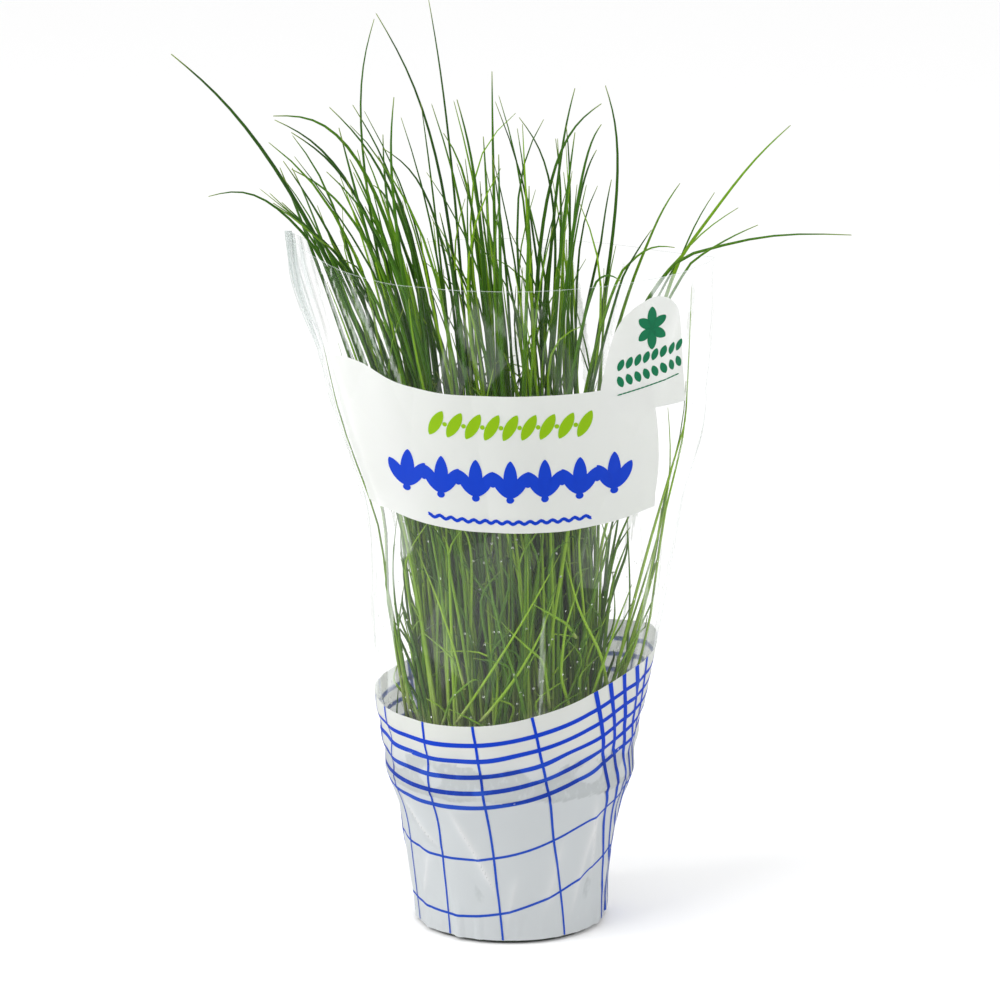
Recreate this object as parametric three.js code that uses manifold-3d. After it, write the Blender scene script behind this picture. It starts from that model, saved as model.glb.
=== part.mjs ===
// A bunch of living chives in its nursery pot, wrapped in a flared clear sleeve.
// Millimetres, +Z up. The origin is the middle of the pot's flat underside.

import * as THREE from 'three';
import { mergeVertices } from 'three/addons/utils/BufferGeometryUtils.js';
import Module from 'manifold-3d';

const wasm = await Module();
wasm.setup();

// Pot: an 11 cm nursery pot with a deep plain rim band.
const POT_HEIGHT = 86;
const POT_BASE_RADIUS = 41;
const POT_NECK_RADIUS = 48.6;
const POT_RIM_RADIUS = 55.5;
const RIM_BAND_HEIGHT = 14.5;
const RIM_DRAFT = 0.4;
const POT_WALL = 1.3;
const POT_FLOOR = 1.6;
const POT_SIDES = 48;
const DRAIN_HOLES = 8;
const DRAIN_RADIUS = 3.6;
const DRAIN_RING_RADIUS = 27;
const DRAIN_SIDES = 10;

// Soil: a peat plug with a crumbly top and a plain hole for the crown.
const SOIL_TOP = 77;
const SOIL_BUMP = 1.4;
const SOIL_SIDES = 52;
const CROWN_RADIUS = 42;
const CROWN_FLOOR = 62;
const CROWN_TOP = 92;
const CROWN_SIDES = 24;
const GAP = 0.4;

// Sleeve: clear film that narrows round the pot and flares to a pointed oval mouth.
const FILM_THICKNESS = 0.6;
const FILM_BOTTOM = 1.5;
const FILM_COLUMNS = 60;
const FILM_ROWS = 13;
const MOUTH_FRONT = 301;
const MOUTH_LEFT_CORNER = 316;
const MOUTH_RIGHT_CORNER = 304;
// Each station: height, reach to the left, reach to the right, half depth, sharpness of the side folds.
const FILM_STATIONS = [
  [0, 42.6, 42.6, 42.6, 0],
  [28, 45.4, 45.4, 45.4, 0],
  [60, 52, 51.8, 52, 0],
  [70, 56.3, 56.3, 56.3, 0],
  [80, 57.6, 57.6, 57.4, 0],
  [96, 60, 60, 58, 0.1],
  [140, 61.5, 68.5, 58, 0.25],
  [192, 64, 76.5, 58, 0.4],
  [226, 75, 85, 58, 0.55],
  [262, 84, 88, 59, 0.68],
  [300, 96, 90, 60, 0.8],
  [320, 99, 91, 60, 0.85],
];

// Leaves: slim round blades that rise from the crown, lean on the film and arch out over its mouth.
const FILL_LEAVES = 140;
const LEAF_RADIUS = 1.35;
const LEAF_TIP_RADIUS = 0.5;
const LEAF_STEPS = 36;
const LEAF_TOLERANCE = 1.9;
const FILM_CLEARANCE = 3.1;
const MOUTH_CLEARANCE = 3.6;
const MOUTH_LEAN = 10;
const FOLD_CLEARANCE = 7;
// Leaves lie on the film at their own depths, so that they don't all run along one line.
const FILL_DEPTH = [0, 15];
const LONG_DEPTHS = 5;
const LONG_DEPTH_STEP = 2.4;
const DEPTH_START = 90;
const DEPTH_FULL = 200;
const LEAST_EDGE = 0.02;
const ROOT_HEIGHT = SOIL_TOP - 4;
const ROOT_EDGE = 3;
const ROOT_SPLAY = 0.25;
const STRAIGHT_RISE = 120;
const LONG_ROOT_SHARE = 0.55;
const GOLDEN_ANGLE = Math.PI * (3 - Math.sqrt(5));
const SPREAD_X = 68;
const SPREAD_Y = 68;
const BUNCH_LEAN = -20;
const LEAN_START = 150;
const SEED = 20418;

// Fill leaves: their shares, and [least, range] of each drawn value. Leans are shares of the spread.
const SHORT_SHARE = 0.55;
const SHORT_HEIGHT = [170, 130];
const SHORT_LEAN = [0.5, 0.35];
const TALLEST = 390;
const SHOULDER_DROP = 50;
const HEIGHT_SCATTER = 105;
const TALL_LEAN = [0.6, 0.5];
const LEAN_POWER = 0.8;
const FAN_SCATTER = 0.9;
const ROOT_SCATTER = 0.25;
const DROOP_SHARE = 0.2;
const DROOP_ABOVE = [8, 14];
const DROOP_BACK = [20, 20];
const RISING_ABOVE = [-50, 35];
const RISING_BACK = [6, 26];

// The leaves that stand out of the bunch: tip x, y, z, then how far the last stretch comes from
// nearer the axis and from above the tip, then the radius at the root.
const LONG_LEAVES = [
  [-145, -38, 400, 62, -40, 1.6],
  [-131, -20, 335, 46, 33, 1.1],
  [-60, 30, 405, -32, -55, 1],
  [-58, -8, 413, 50, -65, 1.1],
  [-36, 40, 412, 20, -60, 0.9],
  [-102, -30, 372, 62, 22, 1.4],
  [-105, 48, 357, 62, -4, 1.3],
  [-95, -14, 362, 52, -18, 1.3],
  [-93, -60, 354, 55, -14, 1.3],
  [-98, 60, 333, 35, -45, 1.3],
  [-80, 34, 365, 56, -30, 1.3],
  [-74, -26, 366, 12, -50, 1.4],
  [-78, -66, 354, 55, -35, 1.3],
  [-100, 16, 344, 40, -50, 1.3],
  [-103, -20, 332, 60, -30, 1.3],
  [-50, -36, 381, -14, -50, 1.4],
  [-57, 56, 349, -6, -45, 1.3],
  [-23, -24, 378, 26, -50, 1.4],
  [-8, 28, 382, 0, -50, 1.3],
  [-5, -58, 360, 3, -40, 1.3],
  [8, -50, 345, -3, -25, 1.3],
  [4, 1, 366, -40, -30, 1],
  [40, 14, 370, 48, -8, 1.4],
  [29, 50, 371, 26, -30, 1.3],
  [42, 20, 377, -26, -40, 1.3],
  [39, -40, 370, 20, -5, 1.2],
  [39, 62, 341, 25, -5, 1.2],
  [28, -20, 363, 8, -45, 1.4],
  [123, 10, 361, 49, -33, 1.3],
  [149, -10, 316, 125, 20, 1.4],
  [76, 44, 329, 26, -20, 1.2],
  [107, -34, 325, 50, -12, 1.1],
  [91, 32, 327, 30, -34, 1],
  [101, 22, 322, 60, -22, 1],
  [70, -64, 321, 45, 16, 1.1],
  [60, -66, 329, 25, -20, 1],
  [47, -74, 308, 30, 26, 1.1],
  [-30, -74, 338, 16, -20, 1.2],
  [-12, 74, 345, 14, -24, 1.3],
  [46, 70, 326, 14, -30, 1.2],
  [-62, 78, 322, 24, 10, 1.3],
  [-55, -20, 356, 45, -12, 1],
  [-69, 10, 370, 40, -50, 1.1],
  [20, 10, 355, -12, -45, 1],
];

function solidOf(geometry) {
  const plain = geometry.clone();
  plain.deleteAttribute('normal');
  plain.deleteAttribute('uv');
  const merged = mergeVertices(plain, 1e-4);
  return new wasm.Manifold(new wasm.Mesh({
    numProp: 3,
    vertProperties: new Float32Array(merged.attributes.position.array),
    triVerts: new Uint32Array(merged.index.array),
  }));
}

function geometryOf(solid) {
  const { vertProperties, triVerts } = solid.getMesh();
  return indexedGeometry(vertProperties, triVerts);
}

function indexedGeometry(positions, triangles) {
  const geometry = new THREE.BufferGeometry();
  geometry.setAttribute('position', new THREE.BufferAttribute(new Float32Array(positions), 3));
  geometry.setIndex([...triangles]);
  geometry.computeVertexNormals();
  return geometry;
}

// Joins neighbours first and then the halves, so that no join handles more than it must.
function fused(solids) {
  if (solids.length === 1) return solids[0];
  const middle = solids.length >> 1;
  return fused(solids.slice(0, middle)).add(fused(solids.slice(middle)));
}

// A closed profile of [radius, height] points turned round the Z axis.
function turned(profile, sides) {
  const lathe = new THREE.LatheGeometry(profile.map(([r, z]) => new THREE.Vector2(r, z)), sides);
  return lathe.rotateX(Math.PI / 2);
}

function part(name, geometry, color, roughness, extra = {}) {
  const material = new THREE.MeshStandardMaterial({ color, roughness, metalness: 0, ...extra });
  const mesh = new THREE.Mesh(geometry, material);
  mesh.name = name;
  return mesh;
}

// Straight blend between the two list entries that a value lies between.
function blended(stations, at) {
  const last = stations.length - 1;
  const upper = Math.min(last, Math.max(1, stations.findIndex(([key]) => key >= at)));
  const found = at > stations[last][0] ? last : upper;
  const [low, high] = [stations[found - 1], stations[found]];
  const share = (at - low[0]) / (high[0] - low[0]);
  return low.slice(1).map((value, k) => value + (high[k + 1] - value) * share);
}

function repeatable(seed) {
  let state = seed;
  return () => {
    state = (Math.imul(state, 1664525) + 1013904223) >>> 0;
    return state / 4294967296;
  };
}

function makePot() {
  const bandFoot = POT_HEIGHT - RIM_BAND_HEIGHT;
  const profile = [
    [0, 0],
    [POT_BASE_RADIUS, 0],
    [POT_NECK_RADIUS, bandFoot],
    [POT_RIM_RADIUS - RIM_DRAFT, bandFoot],
    [POT_RIM_RADIUS, POT_HEIGHT],
    [POT_RIM_RADIUS - POT_WALL, POT_HEIGHT],
    [POT_RIM_RADIUS - RIM_DRAFT - POT_WALL, bandFoot + POT_WALL],
    [POT_NECK_RADIUS - POT_WALL, bandFoot + POT_WALL],
    [POT_BASE_RADIUS - POT_WALL, POT_FLOOR],
    [0, POT_FLOOR],
  ];
  let pot = solidOf(turned(profile, POT_SIDES));
  for (let i = 0; i < DRAIN_HOLES; i += 1) {
    const angle = (i / DRAIN_HOLES) * Math.PI * 2;
    const hole = new THREE.CylinderGeometry(DRAIN_RADIUS, DRAIN_RADIUS, POT_FLOOR * 4, DRAIN_SIDES);
    hole.rotateX(Math.PI / 2);
    hole.translate(Math.cos(angle) * DRAIN_RING_RADIUS, Math.sin(angle) * DRAIN_RING_RADIUS, 0);
    pot = pot.subtract(solidOf(hole));
  }
  return part('pot', geometryOf(pot), 0x1c2419, 0.55);
}

function makeSoil() {
  const bandFoot = POT_HEIGHT - RIM_BAND_HEIGHT;
  const inner = POT_NECK_RADIUS - POT_WALL - GAP;
  const bandInner = POT_RIM_RADIUS - RIM_DRAFT - POT_WALL - GAP;
  const hole = CROWN_RADIUS + GAP;
  const rings = [
    [0, POT_FLOOR + GAP],
    [POT_BASE_RADIUS - POT_WALL - GAP, POT_FLOOR + GAP],
    [inner, bandFoot + POT_WALL + GAP],
    [bandInner, bandFoot + POT_WALL + GAP],
    [bandInner, SOIL_TOP - 1],
    [bandInner - 4, SOIL_TOP],
    [bandInner - 9, SOIL_TOP],
    [hole + 2, SOIL_TOP],
    [hole, SOIL_TOP - 1.5],
    [hole, CROWN_FLOOR - GAP],
    [0, CROWN_FLOOR - GAP],
  ];
  const geometry = turned(rings, SOIL_SIDES);
  const position = geometry.attributes.position;
  for (let i = 0; i < position.count; i += 1) {
    const z = position.getZ(i);
    if (z < SOIL_TOP - 0.5) continue;
    const angle = Math.atan2(position.getY(i), position.getX(i));
    const radius = Math.hypot(position.getX(i), position.getY(i));
    const crumbs = Math.sin(7 * angle + radius) + Math.sin(12 * angle - 1.7 * radius);
    position.setZ(i, z + 0.5 * SOIL_BUMP * crumbs);
  }
  return part('soil', geometryOf(solidOf(geometry)), 0x2b1d14, 0.95);
}

// Outline of the film at one height, as a point for each angle: an ellipse whose two ends
// sharpen into folds towards the mouth.
function filmPoint(angle, z) {
  const [left, right, depth, sharpness] = blended(FILM_STATIONS, z);
  const sine = Math.sin(angle);
  const reach = Math.cos(angle) < 0 ? left : right;
  return new THREE.Vector2(
    reach * Math.cos(angle),
    depth * Math.sign(sine) * ((1 - sharpness) * Math.abs(sine) + sharpness * sine * sine),
  );
}

function mouthHeight(angle) {
  const side = Math.cos(angle);
  const corner = side < 0 ? MOUTH_LEFT_CORNER : MOUTH_RIGHT_CORNER;
  return MOUTH_FRONT + (corner - MOUTH_FRONT) * side ** 6;
}

function filmWallPoint(angle, z, inset) {
  const step = 0.01;
  const tangent = filmPoint(angle + step, z).sub(filmPoint(angle - step, z)).normalize();
  const point = filmPoint(angle, z);
  return [point.x - tangent.y * inset, point.y + tangent.x * inset, z];
}

function makeSleeve() {
  const positions = [];
  for (const inset of [0, FILM_THICKNESS]) {
    for (let row = 0; row <= FILM_ROWS; row += 1) {
      for (let column = 0; column < FILM_COLUMNS; column += 1) {
        const angle = (column / FILM_COLUMNS) * Math.PI * 2;
        const z = FILM_BOTTOM + (mouthHeight(angle) - FILM_BOTTOM) * (row / FILM_ROWS);
        positions.push(...filmWallPoint(angle, z, inset));
      }
    }
  }
  const layer = (FILM_ROWS + 1) * FILM_COLUMNS;
  const at = (side, row, column) => side * layer + row * FILM_COLUMNS + (column % FILM_COLUMNS);
  const triangles = [];
  const quad = (a, b, c, d) => triangles.push(a, b, c, a, c, d);
  for (let column = 0; column < FILM_COLUMNS; column += 1) {
    const next = column + 1;
    for (let row = 0; row < FILM_ROWS; row += 1) {
      quad(at(0, row, column), at(0, row, next), at(0, row + 1, next), at(0, row + 1, column));
      triangles.push(at(1, row, column), at(1, row + 1, next), at(1, row, next));
      triangles.push(at(1, row, column), at(1, row + 1, column), at(1, row + 1, next));
    }
    quad(at(0, FILM_ROWS, column), at(0, FILM_ROWS, next), at(1, FILM_ROWS, next), at(1, FILM_ROWS, column));
    quad(at(1, 0, column), at(1, 0, next), at(0, 0, next), at(0, 0, column));
  }
  const clear = { transparent: true, opacity: 0.3 };
  return part('sleeve', indexedGeometry(positions, triangles), 0xeef4f4, 0.1, clear);
}

// Keeps a point of a leaf inside the film by its own depth, and lets it lean out once it is above the mouth.
function heldByFilm(point, depthInside) {
  const height = Math.min(point.z, MOUTH_LEFT_CORNER);
  const [left, right, depth, sharpness] = blended(FILM_STATIONS, height);
  const side = Math.sign(point.x) || 1;
  const reach = side < 0 ? left : right;
  const cosine = Math.min(1, Math.abs(point.x) / reach);
  const mouth = mouthHeight(Math.acos(side * cosine)) + MOUTH_CLEARANCE;
  const lean = Math.max(0, point.z - mouth) * MOUTH_LEAN;
  const inside = depthInside * THREE.MathUtils.smoothstep(point.z, DEPTH_START, DEPTH_FULL);
  const inset = FILM_THICKNESS + FILM_CLEARANCE + inside;
  const widest = reach - inset - FOLD_CLEARANCE * sharpness + lean;
  point.x = side * Math.min(Math.abs(point.x), widest);
  const held = Math.min(0.97, Math.abs(point.x) / reach);
  const sine = Math.sqrt(1 - held * held);
  const wall = depth * ((1 - sharpness) * sine + sharpness * sine * sine);
  const deepest = Math.max(0, wall - inset * (1 + held ** 3)) + lean;
  point.y = Math.sign(point.y) * Math.min(Math.abs(point.y), deepest);
  return point;
}

// Keeps only the points that a bent line needs to stay within the tolerance.
function thinned(points) {
  const [first, last] = [points[0], points[points.length - 1]];
  const line = new THREE.Line3(first, last);
  let worst = 0;
  let split = 0;
  for (let i = 1; i < points.length - 1; i += 1) {
    const miss = line.closestPointToPoint(points[i], true, new THREE.Vector3()).distanceTo(points[i]);
    if (miss > worst) [worst, split] = [miss, i];
  }
  if (worst < LEAF_TOLERANCE) return [first, last];
  return [...thinned(points.slice(0, split + 1)), ...thinned(points.slice(split)).slice(1)];
}

// A three-sided blade along a bent line, with its roundness carried by the line's turning frame.
function bladeSolid(points, rootRadius, turn) {
  const sides = 3;
  const positions = [];
  const triangles = [];
  const lengths = points.map((p, i) => (i ? p.distanceTo(points[i - 1]) : 0));
  const total = lengths.reduce((sum, length) => sum + length, 0);
  let walked = 0;
  points.forEach((point, i) => {
    walked += lengths[i];
    const before = points[Math.max(0, i - 1)];
    const after = points[Math.min(points.length - 1, i + 1)];
    const along = after.clone().sub(before).normalize();
    const across = new THREE.Vector3(Math.cos(turn), Math.sin(turn), 0).cross(along).normalize();
    const third = along.clone().cross(across);
    const radius = rootRadius + (LEAF_TIP_RADIUS - rootRadius) * (walked / total) ** 3;
    for (let side = 0; side < sides; side += 1) {
      const angle = (side / sides) * Math.PI * 2;
      const spoke = across.clone().multiplyScalar(Math.cos(angle)).addScaledVector(third, Math.sin(angle));
      positions.push(...point.clone().addScaledVector(spoke, radius).toArray());
    }
  });
  for (let i = 0; i < points.length - 1; i += 1) {
    for (let side = 0; side < sides; side += 1) {
      const [a, b] = [i * sides + side, i * sides + ((side + 1) % sides)];
      triangles.push(a, b, b + sides, a, b + sides, a + sides);
    }
  }
  const end = (points.length - 1) * sides;
  triangles.push(0, 2, 1, end, end + 1, end + 2);
  return solidOf(indexedGeometry(positions, triangles));
}

// A leaf from its root in the crown to its tip, as one cubic curve held by the film.
function leafSolid(root, tip, back, above, radius, turn, depthInside) {
  const outward = new THREE.Vector3(tip.x, tip.y, 0).normalize();
  const rise = root.clone().add(new THREE.Vector3(root.x * ROOT_SPLAY, root.y * ROOT_SPLAY, STRAIGHT_RISE));
  const approach = tip.clone().addScaledVector(outward, -back);
  approach.z += above;
  const points = new THREE.CubicBezierCurve3(root, rise, approach, tip).getPoints(LEAF_STEPS);
  return bladeSolid(thinned(points.map((point) => heldByFilm(point, depthInside))), radius, turn);
}

// The place on the crown where a leaf starts, by its direction and its share of the crown's radius.
function rootAt(angle, share) {
  const reach = (CROWN_RADIUS - ROOT_EDGE) * share;
  return new THREE.Vector3(Math.cos(angle) * reach, Math.sin(angle) * reach, ROOT_HEIGHT);
}

function longLeaf([x, y, z, back, above, radius], index) {
  const share = LONG_ROOT_SHARE * Math.min(1, Math.hypot(x / SPREAD_X, y / SPREAD_Y));
  const angle = Math.atan2(y / SPREAD_Y, x / SPREAD_X);
  const tip = new THREE.Vector3(x, y, z);
  const depthInside = (index % LONG_DEPTHS) * LONG_DEPTH_STEP;
  return leafSolid(rootAt(angle, share), tip, back, above, radius, angle, depthInside);
}

// Fill leaves start on a sunflower spiral, and each leans the way its root lies.
function fillLeaf(index, random) {
  const drawn = ([least, range]) => least + range * random();
  const share = Math.sqrt((index + 0.5) / FILL_LEAVES);
  const angle = index * GOLDEN_ANGLE + ROOT_SCATTER * random();
  const isShort = random() < SHORT_SHARE;
  const lean = share ** LEAN_POWER * drawn(isShort ? SHORT_LEAN : TALL_LEAN);
  const crest = TALLEST - SHOULDER_DROP * share * share;
  const height = isShort ? drawn(SHORT_HEIGHT) : crest - HEIGHT_SCATTER * random();
  const fan = angle + FAN_SCATTER * (random() - 0.5);
  const shift = BUNCH_LEAN * THREE.MathUtils.smoothstep(height, LEAN_START, MOUTH_FRONT);
  const x = shift + Math.cos(fan) * SPREAD_X * lean;
  const tip = new THREE.Vector3(x, Math.sin(fan) * SPREAD_Y * lean, height);
  const droops = random() < DROOP_SHARE;
  const above = drawn(droops ? DROOP_ABOVE : RISING_ABOVE);
  const back = drawn(droops ? DROOP_BACK : RISING_BACK);
  return leafSolid(rootAt(angle, share), tip, back, above, LEAF_RADIUS, angle, drawn(FILL_DEPTH));
}

// The packed leaf bases: a low rounded plug that stands in the soil's hole.
function crownSolid() {
  const side = CROWN_RADIUS - GAP / 2;
  const rings = [
    [0, CROWN_FLOOR],
    [side - 3, CROWN_FLOOR],
    [side, CROWN_FLOOR + 8],
    [side, SOIL_TOP + 1],
    [side - 4, CROWN_TOP - 7],
    [side - 16, CROWN_TOP],
    [0, CROWN_TOP + 4],
  ];
  return solidOf(turned(rings, CROWN_SIDES));
}

function makeChives() {
  const random = repeatable(SEED);
  const fill = Array.from({ length: FILL_LEAVES }, (_, index) => fillLeaf(index, random));
  // Leaves that cross can seal a small hollow between them: only the outer skin is kept, which fills it.
  const shells = fused([...LONG_LEAVES.map(longLeaf), ...fill]).add(crownSolid()).decompose();
  const bunch = shells.reduce((best, shell) => (shell.volume() > best.volume() ? shell : best));
  return part('chives', geometryOf(bunch.simplify(LEAST_EDGE)), 0x3f7a1e, 0.5);
}

const plant = new THREE.Group();
plant.add(makePot(), makeSoil(), makeChives(), makeSleeve());

export default plant;
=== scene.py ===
# %% [markdown]
# A bunch of living chives in its nursery pot, wrapped in a flared clear sleeve with a printed check band.
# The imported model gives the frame: the pot's underside is at height zero and everything here is in metres.
# Shapes are worked out with numpy as functions of two parameters, and each piece then rides on the frame.

# %% Frame
import math
import bpy
import bmesh
import numpy as np
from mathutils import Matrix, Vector


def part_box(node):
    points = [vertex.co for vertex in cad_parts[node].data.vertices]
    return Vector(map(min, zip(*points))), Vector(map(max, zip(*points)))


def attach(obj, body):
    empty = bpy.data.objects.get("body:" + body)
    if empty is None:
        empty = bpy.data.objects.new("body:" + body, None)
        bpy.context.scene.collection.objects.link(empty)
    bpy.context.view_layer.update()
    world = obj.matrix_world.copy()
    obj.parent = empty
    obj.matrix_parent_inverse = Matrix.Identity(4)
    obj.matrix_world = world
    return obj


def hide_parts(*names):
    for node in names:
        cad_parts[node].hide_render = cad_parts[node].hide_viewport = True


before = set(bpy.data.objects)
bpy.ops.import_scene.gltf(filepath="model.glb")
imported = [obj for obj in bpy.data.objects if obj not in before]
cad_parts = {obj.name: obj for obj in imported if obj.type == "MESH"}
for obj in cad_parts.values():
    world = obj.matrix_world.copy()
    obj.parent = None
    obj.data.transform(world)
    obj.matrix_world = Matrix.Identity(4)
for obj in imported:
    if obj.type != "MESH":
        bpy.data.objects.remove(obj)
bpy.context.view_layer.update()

MM = 0.001
POT_HIGH = np.array(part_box("pot")[1]) / MM
FILM_LOW, FILM_HIGH = (np.array(corner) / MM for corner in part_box("sleeve"))
print("pot height", POT_HIGH[2], "mm, sleeve top", FILM_HIGH[2], "mm")

# %% [markdown]
# A few small helpers carry the whole file. A grid of points becomes a mesh of quads, a table of rows becomes
# a smooth curve, a repeatable draw of numbers keeps every run alike, and one function adds a shader node and
# joins it to the sockets it reads.

# %% Number helpers
def blend_between(low, high, share):
    """Straight blend from low to high."""
    return low + (high - low) * share


def smooth_step(edge_low, edge_high, value):
    """0 below the first edge, 1 above the second, and 3t^2 - 2t^3 between them."""
    t = np.clip((value - edge_low) / (edge_high - edge_low), 0, 1)
    return t * t * (3 - 2 * t)


def smooth_table(stations, at):
    """Cubic blend through a table of rows: the first column is the key, each other column a value.

    Between two rows it is the Hermite cubic whose slope at a row is that of the line between its neighbours.
    """
    table = np.array(stations, float)
    keys, values = table[:, 0], table[:, 1:]
    slopes = np.gradient(values, keys, axis=0)
    at = np.clip(np.asarray(at, float), keys[0], keys[-1])
    low = np.clip(np.searchsorted(keys, at, side="right") - 1, 0, len(keys) - 2)
    width = keys[low + 1] - keys[low]
    t = ((at - keys[low]) / width)[..., None]
    width = width[..., None]
    return ((2 * t ** 3 - 3 * t ** 2 + 1) * values[low] + (t ** 3 - 2 * t ** 2 + t) * width * slopes[low]
            + (3 * t ** 2 - 2 * t ** 3) * values[low + 1] + (t ** 3 - t ** 2) * width * slopes[low + 1])


def number_draw(seed):
    """Numbers from 0 to 1 that are the same in every run: s becomes (1664525 s + 1013904223) mod 2^32."""
    state = seed
    while True:
        state = (state * 1664525 + 1013904223) % 4294967296
        yield state / 4294967296


# %% Mesh helpers
def grid_faces(rows, columns, wrap):
    """Quads of a grid of points, row by row; wrap joins the last column to the first."""
    last = columns if wrap else columns - 1
    row, column = np.meshgrid(np.arange(rows - 1), np.arange(last), indexing="ij")
    after = (column + 1) % columns
    here, above = row * columns, (row + 1) * columns
    return np.stack([here + column, here + after, above + after, above + column], -1).reshape(-1, 4)


def mesh_object(name, points, faces, material, slot, attributes=()):
    """A smooth mesh object from points in millimetres and faces, with named values for its material."""
    mesh = bpy.data.meshes.new(name)
    places = np.asarray(points).reshape(-1, 3) * MM
    mesh.from_pydata(places.tolist(), [], [tuple(map(int, face)) for face in faces])
    mesh.polygons.foreach_set("use_smooth", np.full(len(mesh.polygons), True))
    for key, values in dict(attributes).items():
        layer = mesh.attributes.new(key, "FLOAT", "POINT")
        layer.data.foreach_set("value", np.asarray(values, np.float32).ravel())
    mesh.materials.append(material)
    piece = bpy.data.objects.new(name, mesh)
    bpy.context.scene.collection.objects.link(piece)
    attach(piece, "root")
    print(name, "has", len(mesh.polygons), "faces")
    return piece


def merged_outwards(piece):
    """Joins points that coincide and turns every face outwards."""
    shape = bmesh.new()
    shape.from_mesh(piece.data)
    bmesh.ops.remove_doubles(shape, verts=shape.verts, dist=0.01 * MM)
    bmesh.ops.recalc_face_normals(shape, faces=shape.faces)
    shape.to_mesh(piece.data)
    shape.free()
    return piece


# %% Shader helpers
def new_material(name, **sockets):
    """A material with one Principled shader, and the values of that shader's own sockets."""
    material = bpy.data.materials.new(name)
    material.use_nodes = True
    shader = material.node_tree.nodes["Principled BSDF"]
    for key, value in sockets.items():
        shader.inputs[key.replace("_", " ")].default_value = value
    return material, material.node_tree, shader


def add_node(tree, kind, inputs=(), **settings):
    """One shader node: settings are its own options, an input is a value or another node's output."""
    node = tree.nodes.new("ShaderNode" + kind)
    for key, value in settings.items():
        setattr(node, key, value)
    for key, value in dict(inputs).items():
        if isinstance(value, bpy.types.NodeSocket):
            tree.links.new(value, node.inputs[key])
        else:
            node.inputs[key].default_value = value
    return node


def add_ramp(tree, factor, stops):
    """A colour ramp; each stop is a place from 0 to 1 and a linear colour."""
    ramp = add_node(tree, "ValToRGB", {"Fac": factor})
    for number, (place, colour) in enumerate(stops):
        if number < 2:
            ramp.color_ramp.elements[number].position = place
        else:
            ramp.color_ramp.elements.new(place)
        ramp.color_ramp.elements[number].color = (*colour, 1)
    return ramp


def mix_colours(tree, factor, low, high):
    """Blend of two colours, each a linear colour or another node's output."""
    ends = [end if isinstance(end, bpy.types.NodeSocket) else (*end, 1) for end in (low, high)]
    return add_node(tree, "Mix", {0: factor, 6: ends[0], 7: ends[1]}, data_type="RGBA").outputs[2]


def object_coordinates(tree, scale=(1, 1, 1)):
    """Object coordinates in metres, stretched by a scale for each axis."""
    place = add_node(tree, "TexCoord")
    return add_node(tree, "Mapping", {"Vector": place.outputs["Object"], "Scale": scale}).outputs["Vector"]


def add_noise(tree, scale, detail):
    """Noise over object coordinates stretched by a scale for each axis, in cells per metre."""
    return add_node(tree, "TexNoise",
                    {"Vector": object_coordinates(tree, scale), "Scale": 1.0, "Detail": detail})


# %% [markdown]
# The sleeve is one sheet of clear film welded into a tapered tube. It hugs the pot, and above the rim its
# front and back stay upright while its two side folds run outwards, so a section changes from a circle to
# a pointed oval. One function gives a point of the film for each direction and height, and the film, its
# print and the drops on it are all laid out with that function, so they always fit each other.

# %% Film outline
MOUTH_FRONT = 301
MOUTH_LEFT_CORNER = FILM_HIGH[2]
MOUTH_RIGHT_CORNER = 304
FILM_BOTTOM = FILM_LOW[2]
FILM_INSET = 0.3
# Each row: height, reach to the left, reach to the right, half depth, sharpness of the side folds.
FILM_STATIONS = [
    (0, 42.6, 42.6, 42.6, 0), (28, 45.4, 45.4, 45.4, 0), (60, 52, 51.8, 52, 0), (70, 56.3, 56.3, 56.3, 0),
    (80, 57.6, 57.6, 57.4, 0), (96, 60, 60, 58, 0.1), (140, 61.5, 68.5, 58, 0.25), (192, 64, 76.5, 58, 0.4),
    (226, 75, 85, 58, 0.55), (262, 84, 88, 59, 0.68), (300, 96, 90, 60, 0.8), (320, 99, 91, 60, 0.85),
]


def film_outline(angle, height):
    """x and y of the plain film: reach times cosine, and depth times a blend of sine and sine squared."""
    left, right, depth, sharpness = np.moveaxis(smooth_table(FILM_STATIONS, height), -1, 0)
    cosine, sine = np.cos(angle), np.sin(angle)
    reach = blend_between(left, right, smooth_step(-0.25, 0.25, cosine)) - FILM_INSET
    y = (depth - FILM_INSET) * np.sign(sine) * ((1 - sharpness) * np.abs(sine) + sharpness * sine * sine)
    return reach * cosine, y


def mouth_height(angle):
    """Height of the film's upper edge: low in front and behind, with a raised corner at each side fold."""
    side = np.cos(angle)
    corner = np.where(side < 0, MOUTH_LEFT_CORNER, MOUTH_RIGHT_CORNER)
    return MOUTH_FRONT + (corner - MOUTH_FRONT) * side ** 6


# %% [markdown]
# Thin film is never smooth. It buckles into flat facets with sharp edges between them, it is gathered in
# small pleats at its foot, and it clings in wet patches where it meets the pot's rim. The facets come from
# waves of the form |sin|, whose creases are sharp, and single creases from a list. Last of all
# every point is kept outside the pot, and where that happens the film counts as clinging to it.

# %% Film relief
RIM_FOOT = 71.5
POT_BASE_RADIUS, POT_NECK_RADIUS, POT_RIM_RADIUS = 41, 48.6, 55.5
CLING_GAP = 0.5
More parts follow.
